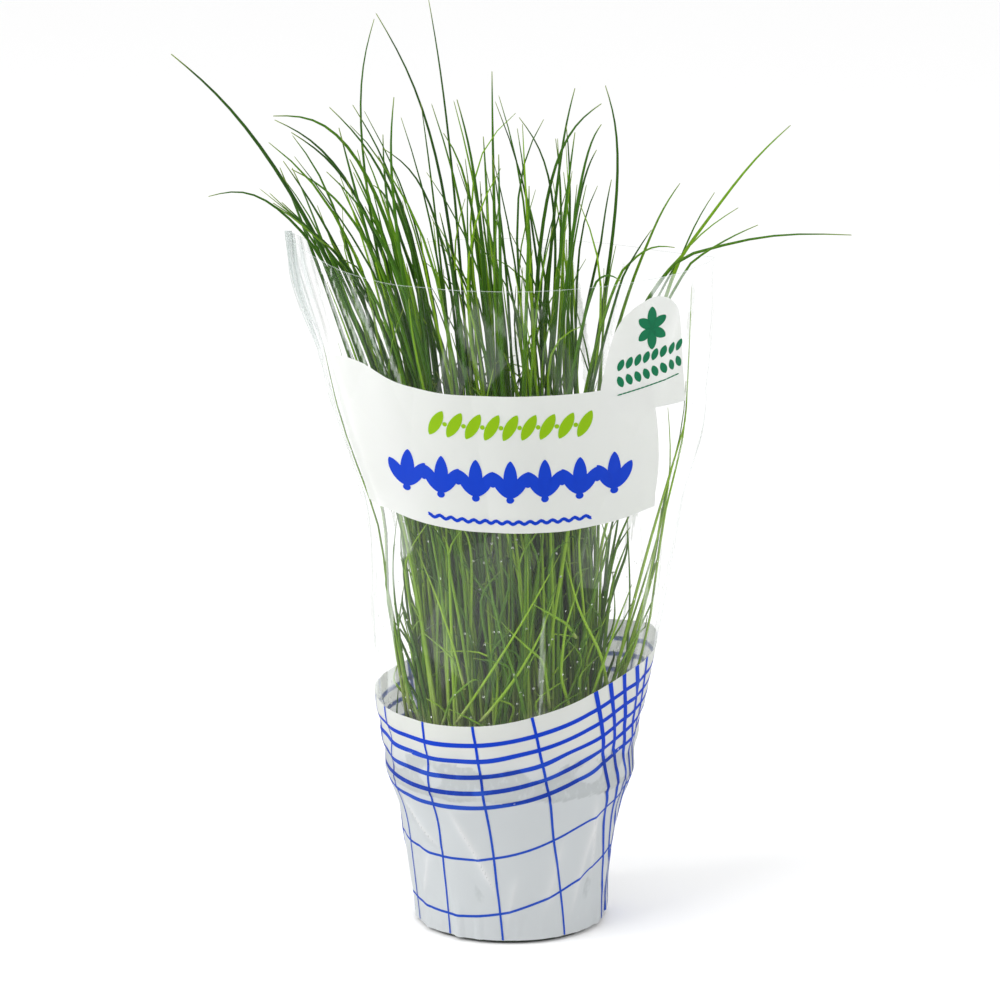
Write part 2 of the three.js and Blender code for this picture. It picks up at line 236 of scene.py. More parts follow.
# Each crease: direction in degrees and height of its lower end, the same of its upper end, width and lift.
CREASES = [
    (-95, 20, -122, 66, 4, 2.0), (-130, 42, -155, 64, 4, 1.8), (-92, 8, -86, 34, 5, 0.9),
    (-70, 12, -60, 52, 6, 1.0), (-52, 10, -40, 62, 4, 1.4), (-36, 26, -46, 70, 4, 1.6),
    (-20, 12, -14, 60, 6, 1.2), (-150, 16, -138, 42, 4, 1.4), (-168, 8, 178, 56, 6, 1.2),
    (150, 16, 138, 60, 6, 1.0), (112, 12, 122, 66, 5, 1.4), (84, 16, 74, 58, 6, 1.0),
    (46, 14, 58, 64, 5, 1.2), (20, 18, 26, 60, 5, 1.0), (-156, 92, -163, 176, 4, 1.6),
    (-143, 104, -153, 226, 5, 1.4), (-166, 116, -172, 240, 4, 1.8), (-30, 92, -26, 180, 5, 1.4),
    (-18, 110, -14, 236, 5, 1.6), (-38, 120, -30, 200, 4, 1.0), (158, 94, 168, 214, 5, 1.4),
    (24, 96, 16, 210, 5, 1.4), (120, 100, 132, 190, 6, 1.0), (60, 104, 48, 196, 6, 1.0),
    (-150, 214, -162, 306, 5, 1.8), (-128, 256, -140, 304, 4, 1.4), (-112, 254, -104, 300, 4, 1.2),
    (-84, 262, -98, 302, 4, 1.0), (-66, 256, -58, 300, 4, 1.2), (-40, 250, -34, 302, 5, 1.3),
    (-170, 226, -174, 314, 3.5, 2.4), (176, 236, 171, 316, 3.5, 2.2), (-163, 268, -167, 314, 3, 1.8),
    (-12, 206, -9, 302, 4, 1.8), (10, 220, 8, 300, 4, 1.6), (96, 224, 84, 300, 5, 1.2),
    (66, 216, 76, 298, 5, 1.2),
]


def pot_wall_radius(height):
    """Radius of the pot's outside: a straight taper, then the rim band, and nothing above the rim."""
    taper = blend_between(POT_BASE_RADIUS, POT_NECK_RADIUS, np.clip(height / RIM_FOOT, 0, 1))
    band = blend_between(taper, POT_RIM_RADIUS, smooth_step(RIM_FOOT - 9, RIM_FOOT + 0.3, height))
    return np.where(height < POT_HIGH[2] + 0.6, band, 0)


def crease_lift(angle, height, narrowing=1.0):
    """Sum of sharp ridges: lift times exp(-distance / width), faded at both ends of each crease."""
    lift = np.zeros(np.broadcast(angle, height).shape)
    for low_angle, low, high_angle, high, width, rise in CREASES:
        share = (height - low) / (high - low)
        turn = (high_angle - low_angle + 180) % 360 - 180
        line = np.radians(low_angle + turn * np.clip(share, 0, 1))
        away = np.abs((angle - line + math.pi) % (2 * math.pi) - math.pi) * POT_RIM_RADIUS
        fade = smooth_step(-0.05, 0.3, share) * (1 - smooth_step(0.7, 1.05, share))
        lift = lift + rise * fade * np.exp(-away / (width * narrowing))
    return lift


# %% Film facets
def crumple(angle, height):
    """Facets between sharp creases: waves of |sin| in three slanted directions whose phase wanders."""
    wander = 0.8 * np.sin(3 * angle + 0.021 * height) + 0.6 * np.sin(2 * angle - 0.034 * height + 1.7)
    waves = (np.abs(np.sin(4 * angle + 0.024 * height + wander))
             + 0.7 * np.abs(np.sin(7 * angle - 0.031 * height + 1.3 * wander + 0.8))
             + 0.6 * np.abs(np.sin(2.0 * angle + 0.052 * height - wander + 2.1)))
    return waves - 1.4


def film_relief(angle, height):
    """How far the film stands out from its plain outline, before it is kept outside the pot."""
    gathers = np.sin(13 * angle + 2.4 * np.sin(3 * angle + 0.6)) * np.sin(7 * angle + 1.1)
    foot = np.maximum(0, gathers + 0.5 * np.sin(29 * angle)) * (1 - smooth_step(3, 22, height))
    free = blend_between(0.55, 1.0, smooth_step(96, 230, height)) * crumple(angle, height)
    rim = smooth_step(60, 74, height) * (1 - smooth_step(88, 104, height))
    clinging = -1.3 + 1.1 * np.sin(9 * angle + 0.16 * height) * np.sin(5 * angle - 0.21 * height + 0.7)
    corner = smooth_step(0.86, 0.99, -np.cos(angle)) * smooth_step(236, 312, height)
    pleats = 1.7 * np.sin(58 * angle + 0.03 * height) * corner
    return 0.9 * foot + free * (1 - rim) + clinging * rim + crease_lift(angle, height) + pleats


# %% Film surface
def film_surface(angle, height, lift=0.0):
    """Points of the film with its relief, and its cling from 0 to 1: the outline moved along its normal."""
    angle, height = np.broadcast_arrays(np.asarray(angle, float), np.asarray(height, float))
    x, y = film_outline(angle, height)
    step = 0.01
    ahead, behind = film_outline(angle + step, height), film_outline(angle - step, height)
    normal_x, normal_y = ahead[1] - behind[1], behind[0] - ahead[0]
    length = np.hypot(normal_x, normal_y)
    relief = film_relief(angle, height)
    x, y = x + normal_x / length * relief, y + normal_y / length * relief
    radius = np.hypot(x, y)
    least = pot_wall_radius(height) + CLING_GAP
    cling = (1 - smooth_step(0, 0.5, radius - least)) * (height < POT_HIGH[2])
    stretch = (np.maximum(radius, least) + lift) / radius
    return np.stack([x * stretch, y * stretch, height], -1), cling


# %% [markdown]
# Real sleeve film is about 0.04 mm thick, so the visual sleeve is a single sheet. Its shader is a glossy one
# that
# covers little of what is behind it: more where the film turns away, as any gloss does, with a grey painted
# there as a painted reflection, and more low down, where water has condensed. One attribute marks creases,
# side folds and the mouth's edge, where a matt grey cover is a painted highlight. Another holds the low mist
# and painted
# highlights: whitish facets and narrow glints.

# %% Film material
FILM_COLUMNS = 540
FILM_ROWS = 184
MOUTH_HEM = 0.9985
# Strengths of the painted highlights along the side folds and the mouth's edge.
FOLD_HIGHLIGHT, HEM_HIGHLIGHT = 1.4, 1.8
GLOSS_POWER, GLOSS_COVER, CREASE_HIGHLIGHT_COVER = 5.0, 0.65, 0.30
# Greys of the painted crease highlights and of the painted reflection at grazing angles.
CREASE_HIGHLIGHT_GREY, EDGE_GREY = (0.56, 0.61, 0.60), (0.50, 0.56, 0.55)
clear_film, tree, shader = new_material("clear film", Roughness=0.11, IOR=1.5, Specular_IOR_Level=0.1)
mist = add_noise(tree, (55, 55, 22), 4.0)
facets = add_node(tree, "TexVoronoi", {"Vector": object_coordinates(tree, (26, 26, 17)), "Scale": 1.0})
facet = add_node(tree, "SeparateColor", {"Color": facets.outputs["Color"]}).outputs["Red"]
both = add_node(tree, "Math", {0: mist.outputs["Fac"], 1: facet}, operation="MULTIPLY")
HAZE_STOPS = [(0.08, (0.01,) * 3), (0.30, (0.024,) * 3), (0.50, (0.05,) * 3)]
haze = add_ramp(tree, both.outputs["Value"], HAZE_STOPS)
# Painted highlights, as whitish facets and glints, with condensed mist low down, add to the cover.
mist_and_glint = add_node(tree, "Attribute", attribute_name="mist_and_glint")
haze = add_node(tree, "Math", {0: mist_and_glint.outputs["Fac"], 1: haze.outputs["Color"]}, operation="ADD")
# Painted highlights along creases, side folds and the mouth's edge.
crease_highlight = add_node(tree, "Attribute", attribute_name="crease_highlight")
turned_away = add_node(tree, "LayerWeight", {"Blend": 0.5}).outputs["Facing"]
gloss = add_node(tree, "Math", {0: turned_away, 1: GLOSS_POWER}, operation="POWER").outputs["Value"]
edge = add_node(tree, "Math", {0: gloss, 1: crease_highlight.outputs["Fac"]}, operation="MAXIMUM").outputs["Value"]
polish = add_node(tree, "Math", {0: edge, 1: -0.5, 2: 0.5}, operation="MULTIPLY_ADD", use_clamp=True)
tree.links.new(polish.outputs["Value"], shader.inputs["Metallic"])
cover = add_node(tree, "Math", {0: crease_highlight.outputs["Fac"], 1: CREASE_HIGHLIGHT_COVER, 2: haze.outputs["Value"]},
                 operation="MULTIPLY_ADD")
cover = add_node(tree, "Math", {0: gloss, 1: GLOSS_COVER, 2: cover.outputs["Value"]},
                 operation="MULTIPLY_ADD", use_clamp=True)
tint = add_ramp(tree, mist.outputs["Fac"], [(0.3, (0.86, 0.89, 0.89)), (0.7, (0.93, 0.95, 0.94))])
# Creases are painted grey as a highlight.
highlighted_tint = mix_colours(tree, crease_highlight.outputs["Fac"], tint.outputs["Color"], CREASE_HIGHLIGHT_GREY)
# Where the film turns away it is painted grey, a painted reflection.
tree.links.new(mix_colours(tree, gloss, highlighted_tint, EDGE_GREY), shader.inputs["Base Color"])
tree.links.new(cover.outputs["Value"], shader.inputs["Alpha"])

# %% Film sheet
# Each row of painted highlights: a facet's middle in degrees and height, half width in degrees, half height,
# slant and cover.
GLINT_FACETS = [
    (-149, 158, 3.5, 44, 0.1, 0.30), (-141, 190, 6, 13, 0.5, 0.16), (-33, 150, 1.2, 30, 0.4, 0.22),
    (-108, 258, 4, 13, -0.7, 0.05), (-98, 276, 5, 13, 0.8, 0.06), (-88, 288, 6, 6, -0.6, 0.05),
    (-76, 268, 4, 12, 0.9, 0.04), (-62, 264, 4, 12, -0.6, 0.04), (-36, 296, 11, 15, 0.3, 0.38),
    (-146, 282, 1.4, 20, 2.0, 0.42), (-140, 272, 1.0, 15, 2.4, 0.36), (-150, 268, 1.3, 16, 1.8, 0.45),
    (-134, 284, 1.0, 12, 2.2, 0.28), (-127, 266, 1.1, 12, 2.4, 0.22), (-163, 284, 5, 24, 0.3, 0.14),
    (-172, 250, 4, 30, 0.2, 0.18), (-120, 140, 5, 14, 0.8, 0.03), (-78, 132, 0.9, 18, 0.6, 0.20),
    (-172, 126, 5, 26, 0.2, 0.16),
]
# Narrow painted glints on the sides and back have the same six values, drawn between two limits.
GLINTS, GLINT_SEED = 70, 31
GLINT_LEAST, GLINT_MOST = (-30, 112, 0.8, 9, -2.4, 0.10), (205, 292, 1.9, 27, 2.4, 0.42)
glints = np.random.default_rng(GLINT_SEED).uniform(GLINT_LEAST, GLINT_MOST, (GLINTS, 6))
LOW_MIST = 0.022
CURL_START, CURL_FULL = 0.25, 1.1


def glint_cover(angle, height):
    """Cover of painted highlights on slanted four-sided facets: each stops where the larger of two distances
    from it passes 1.
    """
    cover = np.zeros(np.broadcast(angle, height).shape)
    for middle, level, half_width, half_height, slant, strength in [*GLINT_FACETS, *glints]:
        up = (height - level) / half_height
        across = ((np.degrees(angle) - middle + 180) % 360 - 180) / half_width + slant * up
        away = np.maximum(np.abs(across), np.abs(up - 0.6 * slant * across))
        cover = cover + strength * blend_between(0.5, 1.0, away) * (1 - smooth_step(0.96, 1.02, away))
    return cover


def reach_from_fold(angle):
    """Columns of the film's grid between a direction and the nearer side fold."""
    return np.abs(np.sin(angle)) * FILM_COLUMNS / (2 * math.pi)


# %% Film mesh
angle = np.linspace(0, 2 * math.pi, FILM_COLUMNS, endpoint=False)[None, :]
row = np.append(np.linspace(0, MOUTH_HEM, FILM_ROWS - 1), 1)[:, None]
height = FILM_BOTTOM + (mouth_height(angle) - FILM_BOTTOM) * row
points, _ = film_surface(angle, height)
relief = film_relief(angle, height)
curl = np.abs(relief * 2 - np.roll(relief, 2, 1) - np.roll(relief, -2, 1))
# Painted highlights along the side folds, the mouth's edge and sharp curls of the relief.
fold_highlight = FOLD_HIGHLIGHT * np.exp(-FOLD_HIGHLIGHT * reach_from_fold(angle)) * smooth_step(100, 150, height)
hem_highlight = HEM_HIGHLIGHT * (row > MOUTH_HEM)
crease_highlight = np.maximum(np.maximum(smooth_step(CURL_START, CURL_FULL, curl), hem_highlight), fold_highlight)
# Painted glints and facets, with condensed mist low down.
mist_and_glint = glint_cover(angle, height) + LOW_MIST * (1 - smooth_step(190, 215, height))
film = mesh_object("film", points, grid_faces(FILM_ROWS, FILM_COLUMNS, True), clear_film, "sleeve",
                   {"crease_highlight": crease_highlight, "mist_and_glint": mist_and_glint})
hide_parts("sleeve")
print("film stands out by", round(float(relief.min()), 1), "to", round(float(relief.max()), 1), "mm")

# %% [markdown]
# The lower half of the sleeve is printed with opaque white ink and a blue check, as on a tea towel. Print
# is a thin layer on the film, so each colour is its own sheet that lies a tenth of a millimetre or so over
# the film and follows the same folds. The upper edge of the white is the line where a slanted plane meets
# the film, a little bowed. The lines keep their distance from that edge.

# %% Ink materials
WHITE_LIFT, ROW_LIFT, COLUMN_LIFT = 0.10, 0.18, 0.26


def ink(name, colour, pot_shade, clinging, fold_highlight_colour):
    """Print ink: its colour on free film, painted darker as the dark pot's shade low down, where it clings to
    the pot, and painted lighter as a highlight along a fold.
    """
    material, tree, shader = new_material(name, Roughness=0.5, Specular_IOR_Level=0.18)
    place = object_coordinates(tree)
    height = add_node(tree, "SeparateXYZ", {"Vector": place}).outputs["Z"]
    # Painted shade: below about 80 to 94 mm the dark pot lies behind the print, and its shade is painted in.
    behind = add_node(tree, "MapRange", {"Value": height, "From Min": 0.094, "From Max": 0.080})
    cling = add_node(tree, "Attribute", attribute_name="cling")
    speckle = add_node(tree, "TexNoise", {"Vector": object_coordinates(tree, (420, 420, 260)), "Scale": 1.0})
    wet = add_node(tree, "Math", {0: cling.outputs["Fac"], 1: speckle.outputs["Fac"]}, operation="MULTIPLY")
    wet = add_node(tree, "MapRange", {"Value": wet.outputs["Value"], "From Min": 0.16, "From Max": 0.46})
    free = mix_colours(tree, behind.outputs["Result"], colour, pot_shade)
    pressed = mix_colours(tree, wet.outputs["Result"], free, clinging)
    # Painted highlight: the ink is lighter along the creases.
    fold = add_node(tree, "Attribute", attribute_name="fold")
    shade = mix_colours(tree, fold.outputs["Fac"], pressed, fold_highlight_colour)
    tree.links.new(shade, shader.inputs["Base Color"])
    grain = add_node(tree, "Bump", {"Height": speckle.outputs["Fac"], "Strength": 0.06, "Distance": 0.0002})
    tree.links.new(grain.outputs["Normal"], shader.inputs["Normal"])
    lit_through = add_node(tree, "BsdfTranslucent", {"Color": shade, "Normal": grain.outputs["Normal"]})
    sheet = add_node(tree, "MixShader", {0: 0.4, 1: shader.outputs["BSDF"], 2: lit_through.outputs["BSDF"]})
    tree.links.new(sheet.outputs["Shader"], tree.nodes["Material Output"].inputs["Surface"])
    return material


# Each second colour is the print with the dark pot's shade painted into it.
WHITE, WHITE_POT_SHADE = (0.78, 0.79, 0.775), (0.72, 0.755, 0.77)
BLUE, BLUE_POT_SHADE = (0.003, 0.055, 0.60), (0.022, 0.09, 0.55)
LIME, GREEN = (0.29, 0.52, 0.003), (0.004, 0.19, 0.080)
# Each ink: its colour, the same with the dark pot's shade painted in, its wet cling colour, and its painted
# crease highlight.
white_ink = ink("white ink", WHITE, WHITE_POT_SHADE, (0.60, 0.635, 0.645), (0.93, 0.93, 0.93))
blue_ink = ink("blue ink", BLUE, BLUE_POT_SHADE, (0.010, 0.050, 0.42), (0.08, 0.17, 0.65))
lime_ink = ink("lime ink", LIME, LIME, (0.2, 0.4, 0.004), (0.45, 0.64, 0.1))
green_ink = ink("dark green ink", GREEN, GREEN, (0.004, 0.1, 0.04), (0.1, 0.3, 0.2))

# %% Band edge
BAND_FOOT = FILM_BOTTOM + 0.3
CONE_RADIUS = 58.5
EDGE_LEVEL, EDGE_TILT, EDGE_LEAN, EDGE_BOW = 113.0, 0.19, 0.09, 0.0014
EDGE_STEPS = 6
# Strength and narrowing of the painted highlight along the creases.
INK_HIGHLIGHT, INK_HIGHLIGHT_NARROWING = 0.4, 0.4


def edge_height(angle):
    """Upper edge of the print: level + tilt x + lean y + bow x^2, with x and y taken again a few times."""
    height = np.full(np.shape(angle), EDGE_LEVEL)
    for _ in range(EDGE_STEPS):
        x, y = film_outline(angle, height)
        height = EDGE_LEVEL + EDGE_TILT * x + EDGE_LEAN * y + EDGE_BOW * x * x
    return height


def ink_highlight(angle, height):
    """How strongly the ink is painted lighter along the creases, a painted highlight, from 0 to 1."""
    return np.minimum(1, INK_HIGHLIGHT * crease_lift(angle, height, INK_HIGHLIGHT_NARROWING))


# %% Printed sheets
def print_sheet(name, angle, height, material, lift, wrap=False, extra_highlight=0.0):
    """A sheet of ink over grids of directions and heights, with its cling and painted crease highlight for
    the material.
    """
    angle, height = np.broadcast_arrays(angle, height)
    points, cling = film_surface(angle, height, lift)
    return mesh_object(name, points, grid_faces(*height.shape, wrap), material, "sleeve",
                       {"cling": cling, "fold": np.minimum(1, ink_highlight(angle, height) + extra_highlight)})


def joined_grids(name, grids, material, lift):
    """Several printed strips as one object; each is a direction grid and a height grid of one shape."""
    angle = np.stack([np.broadcast_arrays(*pair)[0] for pair in grids])
    height = np.stack([np.broadcast_arrays(*pair)[1] for pair in grids])
    points, cling = film_surface(angle, height, lift)
    count, rows, columns = height.shape
    faces = grid_faces(rows, columns, False)[None] + (np.arange(count) * rows * columns)[:, None, None]
    return mesh_object(name, points, faces.reshape(-1, 4), material, "sleeve",
                       {"cling": cling, "fold": ink_highlight(angle, height)})


# %% Check band
BAND_COLUMNS, BAND_ROWS = 360, 90
round_angle = np.linspace(0, 2 * math.pi, BAND_COLUMNS, endpoint=False)[None, :]
share = np.linspace(0, 1, BAND_ROWS)[:, None]
top = edge_height(round_angle)
band_height = BAND_FOOT + (top - BAND_FOOT) * share
print_sheet("white_band", round_angle, band_height, white_ink, WHITE_LIFT, wrap=True)

# Each row: drop of the line's middle below the edge, and its width.
LEVEL_LINES = [(-9, 2.1), (-16.4, 2.1), (-23.8, 2.1), (-31.2, 2.1), (-38.5, 2.1), (-64.5, 1.2), (-92, 1.2)]
ring_angle = np.linspace(0, 2 * math.pi, BAND_COLUMNS + 1)[None, :]
across = np.array([-0.5, 0, 0.5])[:, None]
joined_grids("level_lines", [(ring_angle, edge_height(ring_angle) + drop + across * width)
                             for drop, width in LEVEL_LINES], blue_ink, ROW_LIFT)

# %% Upright lines
THICK, THIN = 2.1, 1.3
GROUP_FIRST, GROUP_PITCH, GROUP_COUNT = 37, 7.4, 5
BACK_GROUP_FIRST = 205
# Places of the single lines, as lengths round the film from the front centre.
SINGLE_LINES = [-67, -40.5, -16.2, 9.1, 96, 123, 150, 177, 262, 284]
UPRIGHT_ROWS = 70


def upright_line(place, width):
    """A line square to the print's edge: its direction shifts by the edge's slope times the drop below it."""
    angle = -math.pi / 2 + place / CONE_RADIUS
    step = 0.02
    ahead, behind = edge_height(np.array(angle + step)), edge_height(np.array(angle - step))
    slope = (ahead - behind) / (2 * step * CONE_RADIUS)
    top = edge_height(np.array(angle))
    height = (BAND_FOOT + 0.2 + (top - BAND_FOOT - 0.2) * np.linspace(0, 1, UPRIGHT_ROWS))[:, None]
    sideways = np.array([-0.5, 0, 0.5])[None, :] * width + (top - height) * slope
    line_angle = angle + sideways / CONE_RADIUS
    rise = edge_height(line_angle[-1]) - top
    return line_angle, height + rise * (height - BAND_FOOT) / (top - BAND_FOOT)


thick_places = [first + GROUP_PITCH * k
                for first in (GROUP_FIRST, BACK_GROUP_FIRST) for k in range(GROUP_COUNT)]
joined_grids("upright_lines", [upright_line(place, THICK) for place in thick_places]
             + [upright_line(place, THIN) for place in SINGLE_LINES], blue_ink, COLUMN_LIFT)

# %% [markdown]
# Above the leaves' lower half a white label runs round the front, and an arched badge rises from its right
# end. Both are thin sheets of white ink, cut to a table of heights, and the label is whiter at its left end,
# where the film turns towards the light. Rows of leaf shapes decorate them, drawn as pointed ovals.

# %% Label and badge
# Each row: direction in degrees, height of the label's lower edge, height of its upper edge.
LABEL_EDGES = [
    (-180, 199.5, 266), (-164, 198.5, 265), (-138, 196, 262), (-129, 195, 257.5),
    (-115, 194, 255), (-90, 193.4, 254.5), (-64, 194, 255), (-50, 196, 256), (-35, 198, 256.5),
]
LABEL_LEFT, LABEL_RIGHT_TOP, LABEL_RIGHT_FOOT = -160, -45, -35
# The label's left end is painted lighter, a painted highlight where the film turns towards the light.
LEFT_HIGHLIGHT, HIGHLIGHT_START, HIGHLIGHT_FULL = 0.5, 116, 138
# Each row: x, then the height of the badge's outline there.
BADGE_OUTLINE = [
    (39, 256), (41, 268), (43.5, 277), (47, 284), (52, 288.6), (58, 291.8), (63, 293.2), (67, 292.4),
    (70.5, 289.5), (73, 284), (75, 273), (76.3, 260), (76.9, 246),
]
BADGE_FOOT = 243.5
BADGE_LIFT = 0.05
LEAST_COSINE, MOST_COSINE = 0.02, 0.995
LABEL_COLUMNS, LABEL_ROWS = 240, 70
BADGE_COLUMNS, BADGE_ROWS = 70, 60

# %% Label sheet
share = np.linspace(0, 1, LABEL_ROWS)[:, None]
right_end = blend_between(LABEL_RIGHT_FOOT, LABEL_RIGHT_TOP, share)
label_degrees = blend_between(LABEL_LEFT, right_end, np.linspace(0, 1, LABEL_COLUMNS)[None, :])
edges = smooth_table(LABEL_EDGES, label_degrees)
# Painted highlight on the label's left end.
left_highlight = LEFT_HIGHLIGHT * smooth_step(HIGHLIGHT_START, HIGHLIGHT_FULL, -label_degrees)
label_height = blend_between(edges[..., 0], edges[..., 1], share)
print_sheet("label", np.radians(label_degrees), label_height, white_ink, WHITE_LIFT, extra_highlight=left_highlight)


# %% Badge sheet
def front_direction(x, height):
    """Direction of the front film's point above a given x: minus the angle whose cosine is x / reach."""
    left, right, _, _ = np.moveaxis(smooth_table(FILM_STATIONS, height), -1, 0)
    guess = np.where(x < 0, left, right) - FILM_INSET
    angle = -np.arccos(np.clip(x / guess, -MOST_COSINE, MOST_COSINE))
    for _ in range(EDGE_STEPS):
        is_middle = np.abs(np.cos(angle)) < LEAST_COSINE
        reach = film_outline(angle, height)[0] / np.where(is_middle, 1, np.cos(angle))
        reach = np.where(is_middle, guess, reach)
        angle = -np.arccos(np.clip(x / reach, -MOST_COSINE, MOST_COSINE))
    return angle


badge_x = np.linspace(BADGE_OUTLINE[0][0], BADGE_OUTLINE[-1][0], BADGE_COLUMNS)[None, :]
badge_top = smooth_table(BADGE_OUTLINE, badge_x)[..., 0]
badge_height = BADGE_FOOT + (badge_top - BADGE_FOOT) * np.linspace(0, 1, BADGE_ROWS)[:, None]
badge_angle = front_direction(np.broadcast_to(badge_x, badge_height.shape), badge_height)
print_sheet("badge", badge_angle, badge_height, white_ink, WHITE_LIFT + BADGE_LIFT)

# %% [markdown]
# Each ornament is a flat pointed oval: a circle of directions whose width is drawn in towards both ends. Set
# side by side and tilted, such ovals make leaves, buds, a thin waved line and a rosette. They are laid on
# the film by its own function, a little above the white ink, so they bend with it and never sink in.

# %% Leaf ornaments
SPOT_RINGS, SPOT_SIDES = 4, 28
ORNAMENT_LIFT = 0.24
LABEL_BOW = 0.0006
LIME_HEIGHT, SPRIG_HEIGHT, BUD_HEIGHT, VINE_HEIGHT = 240.5, 209.6, 215.1, 198.2


def leaf_spots(name, spots, material):
    """Flat printed shapes; each row is x, height, half length, half width, tilt in degrees, and pointedness.

    A shape is u = half length * cos t and v = half width * sin t * |sin t|^pointedness, turned by the tilt.
    """
    x, z, length, width, tilt, point = np.array(spots, float).T[:, :, None, None]
    t = np.linspace(0, 2 * math.pi, SPOT_SIDES, endpoint=False)[None, None, :]
    size = np.linspace(0.02, 1, SPOT_RINGS)[None, :, None]
    u = length * np.cos(t) * size
    v = width * np.sin(t) * np.abs(np.sin(t)) ** point * size
    tilt = np.radians(tilt)
    place_x = x + u * np.cos(tilt) - v * np.sin(tilt)
    place_z = z + u * np.sin(tilt) + v * np.cos(tilt)
    angle = front_direction(place_x, place_z)
    points, cling = film_surface(angle, place_z, ORNAMENT_LIFT)
    ring = grid_faces(SPOT_RINGS, SPOT_SIDES, True).tolist() + [list(range(SPOT_SIDES))[::-1]]
    step = SPOT_RINGS * SPOT_SIDES
    faces = [[corner + shape * step for corner in face] for shape in range(len(spots)) for face in ring]
    return mesh_object(name, points, faces, material, "sleeve", {"cling": cling})


# %% Rows on the label
def curved_row(x):
    """How much higher a row stands away from the middle, so that it keeps to the label's edges: bow x^2."""
    return LABEL_BOW * x * x


lime_row = [(x, LIME_HEIGHT + curved_row(x), 6.4, 2.5, 62, 0.45) for x in np.linspace(-32, 32, 9)]
lime_row += [(x, LIME_HEIGHT + curved_row(x), 1.0, 1.0, 0, 0) for x in np.linspace(-28, 28, 8)]
leaf_spots("lime_leaves", lime_row, lime_ink)

sprigs = []
for x in np.linspace(-45, 45, 7):
    foot = SPRIG_HEIGHT + curved_row(x)
    sprigs += [(x, foot + 7.6, 8.6, 3.0, 90, 0.35), (x - 4.1, foot + 5.4, 6.8, 2.6, 122, 0.4),
               (x + 4.1, foot + 5.4, 6.8, 2.6, 58, 0.4), (x, foot - 1.2, 1.7, 1.5, 0, 0)]
sprigs += [(x, BUD_HEIGHT + curved_row(x), 1.3, 1.3, 0, 0) for x in np.linspace(-37.5, 37.5, 6)]
leaf_spots("blue_sprigs", sprigs, blue_ink)

vine = [(x, VINE_HEIGHT + curved_row(x), 2.0, 0.75, 40 if number % 2 else -40, 0.5)
        for number, x in enumerate(np.linspace(-34, 34, 29))]
vine += [(x, VINE_HEIGHT + curved_row(x), 1.5, 0.28, 0, 0) for x in np.linspace(-34, 34, 28)]
leaf_spots("blue_vine", vine, blue_ink)

# %% Rosette
ROSETTE_X, ROSETTE_HEIGHT, ROSETTE_SQUEEZE = 61.5, 279.5, 0.72
PETAL_REACH, PETAL_LENGTH = 4.9, 4.6
BADGE_ROW_START, BADGE_ROW_SLOPE = 46, 0.16
UPPER_ROW, LOWER_ROW, STALK_ROW = 265.0, 257.6, 251.9


def badge_row(height, places, half_length, half_width, tilt, point):
    """A rising row of shapes on the badge: height + slope (x - start)."""
    return [(x, height + BADGE_ROW_SLOPE * (x - BADGE_ROW_START), half_length, half_width, tilt, point)
            for x in places]


petals = []
for turn in np.radians([30, 90, 150, 210, 270, 330]):
    sideways, upwards = ROSETTE_SQUEEZE * math.cos(turn), math.sin(turn)
    petals += [(ROSETTE_X + PETAL_REACH * sideways, ROSETTE_HEIGHT + PETAL_REACH * upwards,
                PETAL_LENGTH * math.hypot(sideways, upwards), 2.1,
                math.degrees(math.atan2(upwards, sideways)), 0.3)]
petals += [(ROSETTE_X, ROSETTE_HEIGHT, 1.0, 1.3, 0, 0)]
petals += badge_row(UPPER_ROW, np.linspace(47.5, 74, 8), 2.7, 1.45, 68, 0.4)
petals += badge_row(LOWER_ROW, np.linspace(47.5, 74, 8), 2.7, 1.45, 112, 0.4)
petals += badge_row(STALK_ROW, np.linspace(47.5, 73, 14), 1.3, 0.32, 9, 0)
leaf_spots("green_rosette", petals, green_ink)

# %% [markdown]
# A chive leaf is a slim hollow tube with a waxy skin. It rises straight from the crown, leans on the film and
# arches out over the mouth. Each leaf is one cubic curve from root to tip, pushed back inside the film where
# it would cross it. The leaves that stand out singly have listed tips, the rest follow a sunflower
# spiral, which spreads any number of roots evenly over a disc.

# %% Leaf tips
CROWN_RADIUS = 42
ROOT_EDGE = 3
ROOT_HEIGHT = 73
ROOT_SPLAY = 0.25
STRAIGHT_RISE = 120
GOLDEN_ANGLE = math.pi * (3 - math.sqrt(5))
SPREAD = np.array([68, 68])
BUNCH_LEAN, LEAN_START = -20, 150
DEPTH_START, DEPTH_FULL = 90, 200
MOUTH_LEAN = 10
LONG_ROOT_SHARE = 0.55
SOFTENINGS = 8
FILL_LEAVES, FILL_SEED = 140, 20418
FILL_TOP, FILL_DOME, SHORT_SCATTER = 390, 50, 130
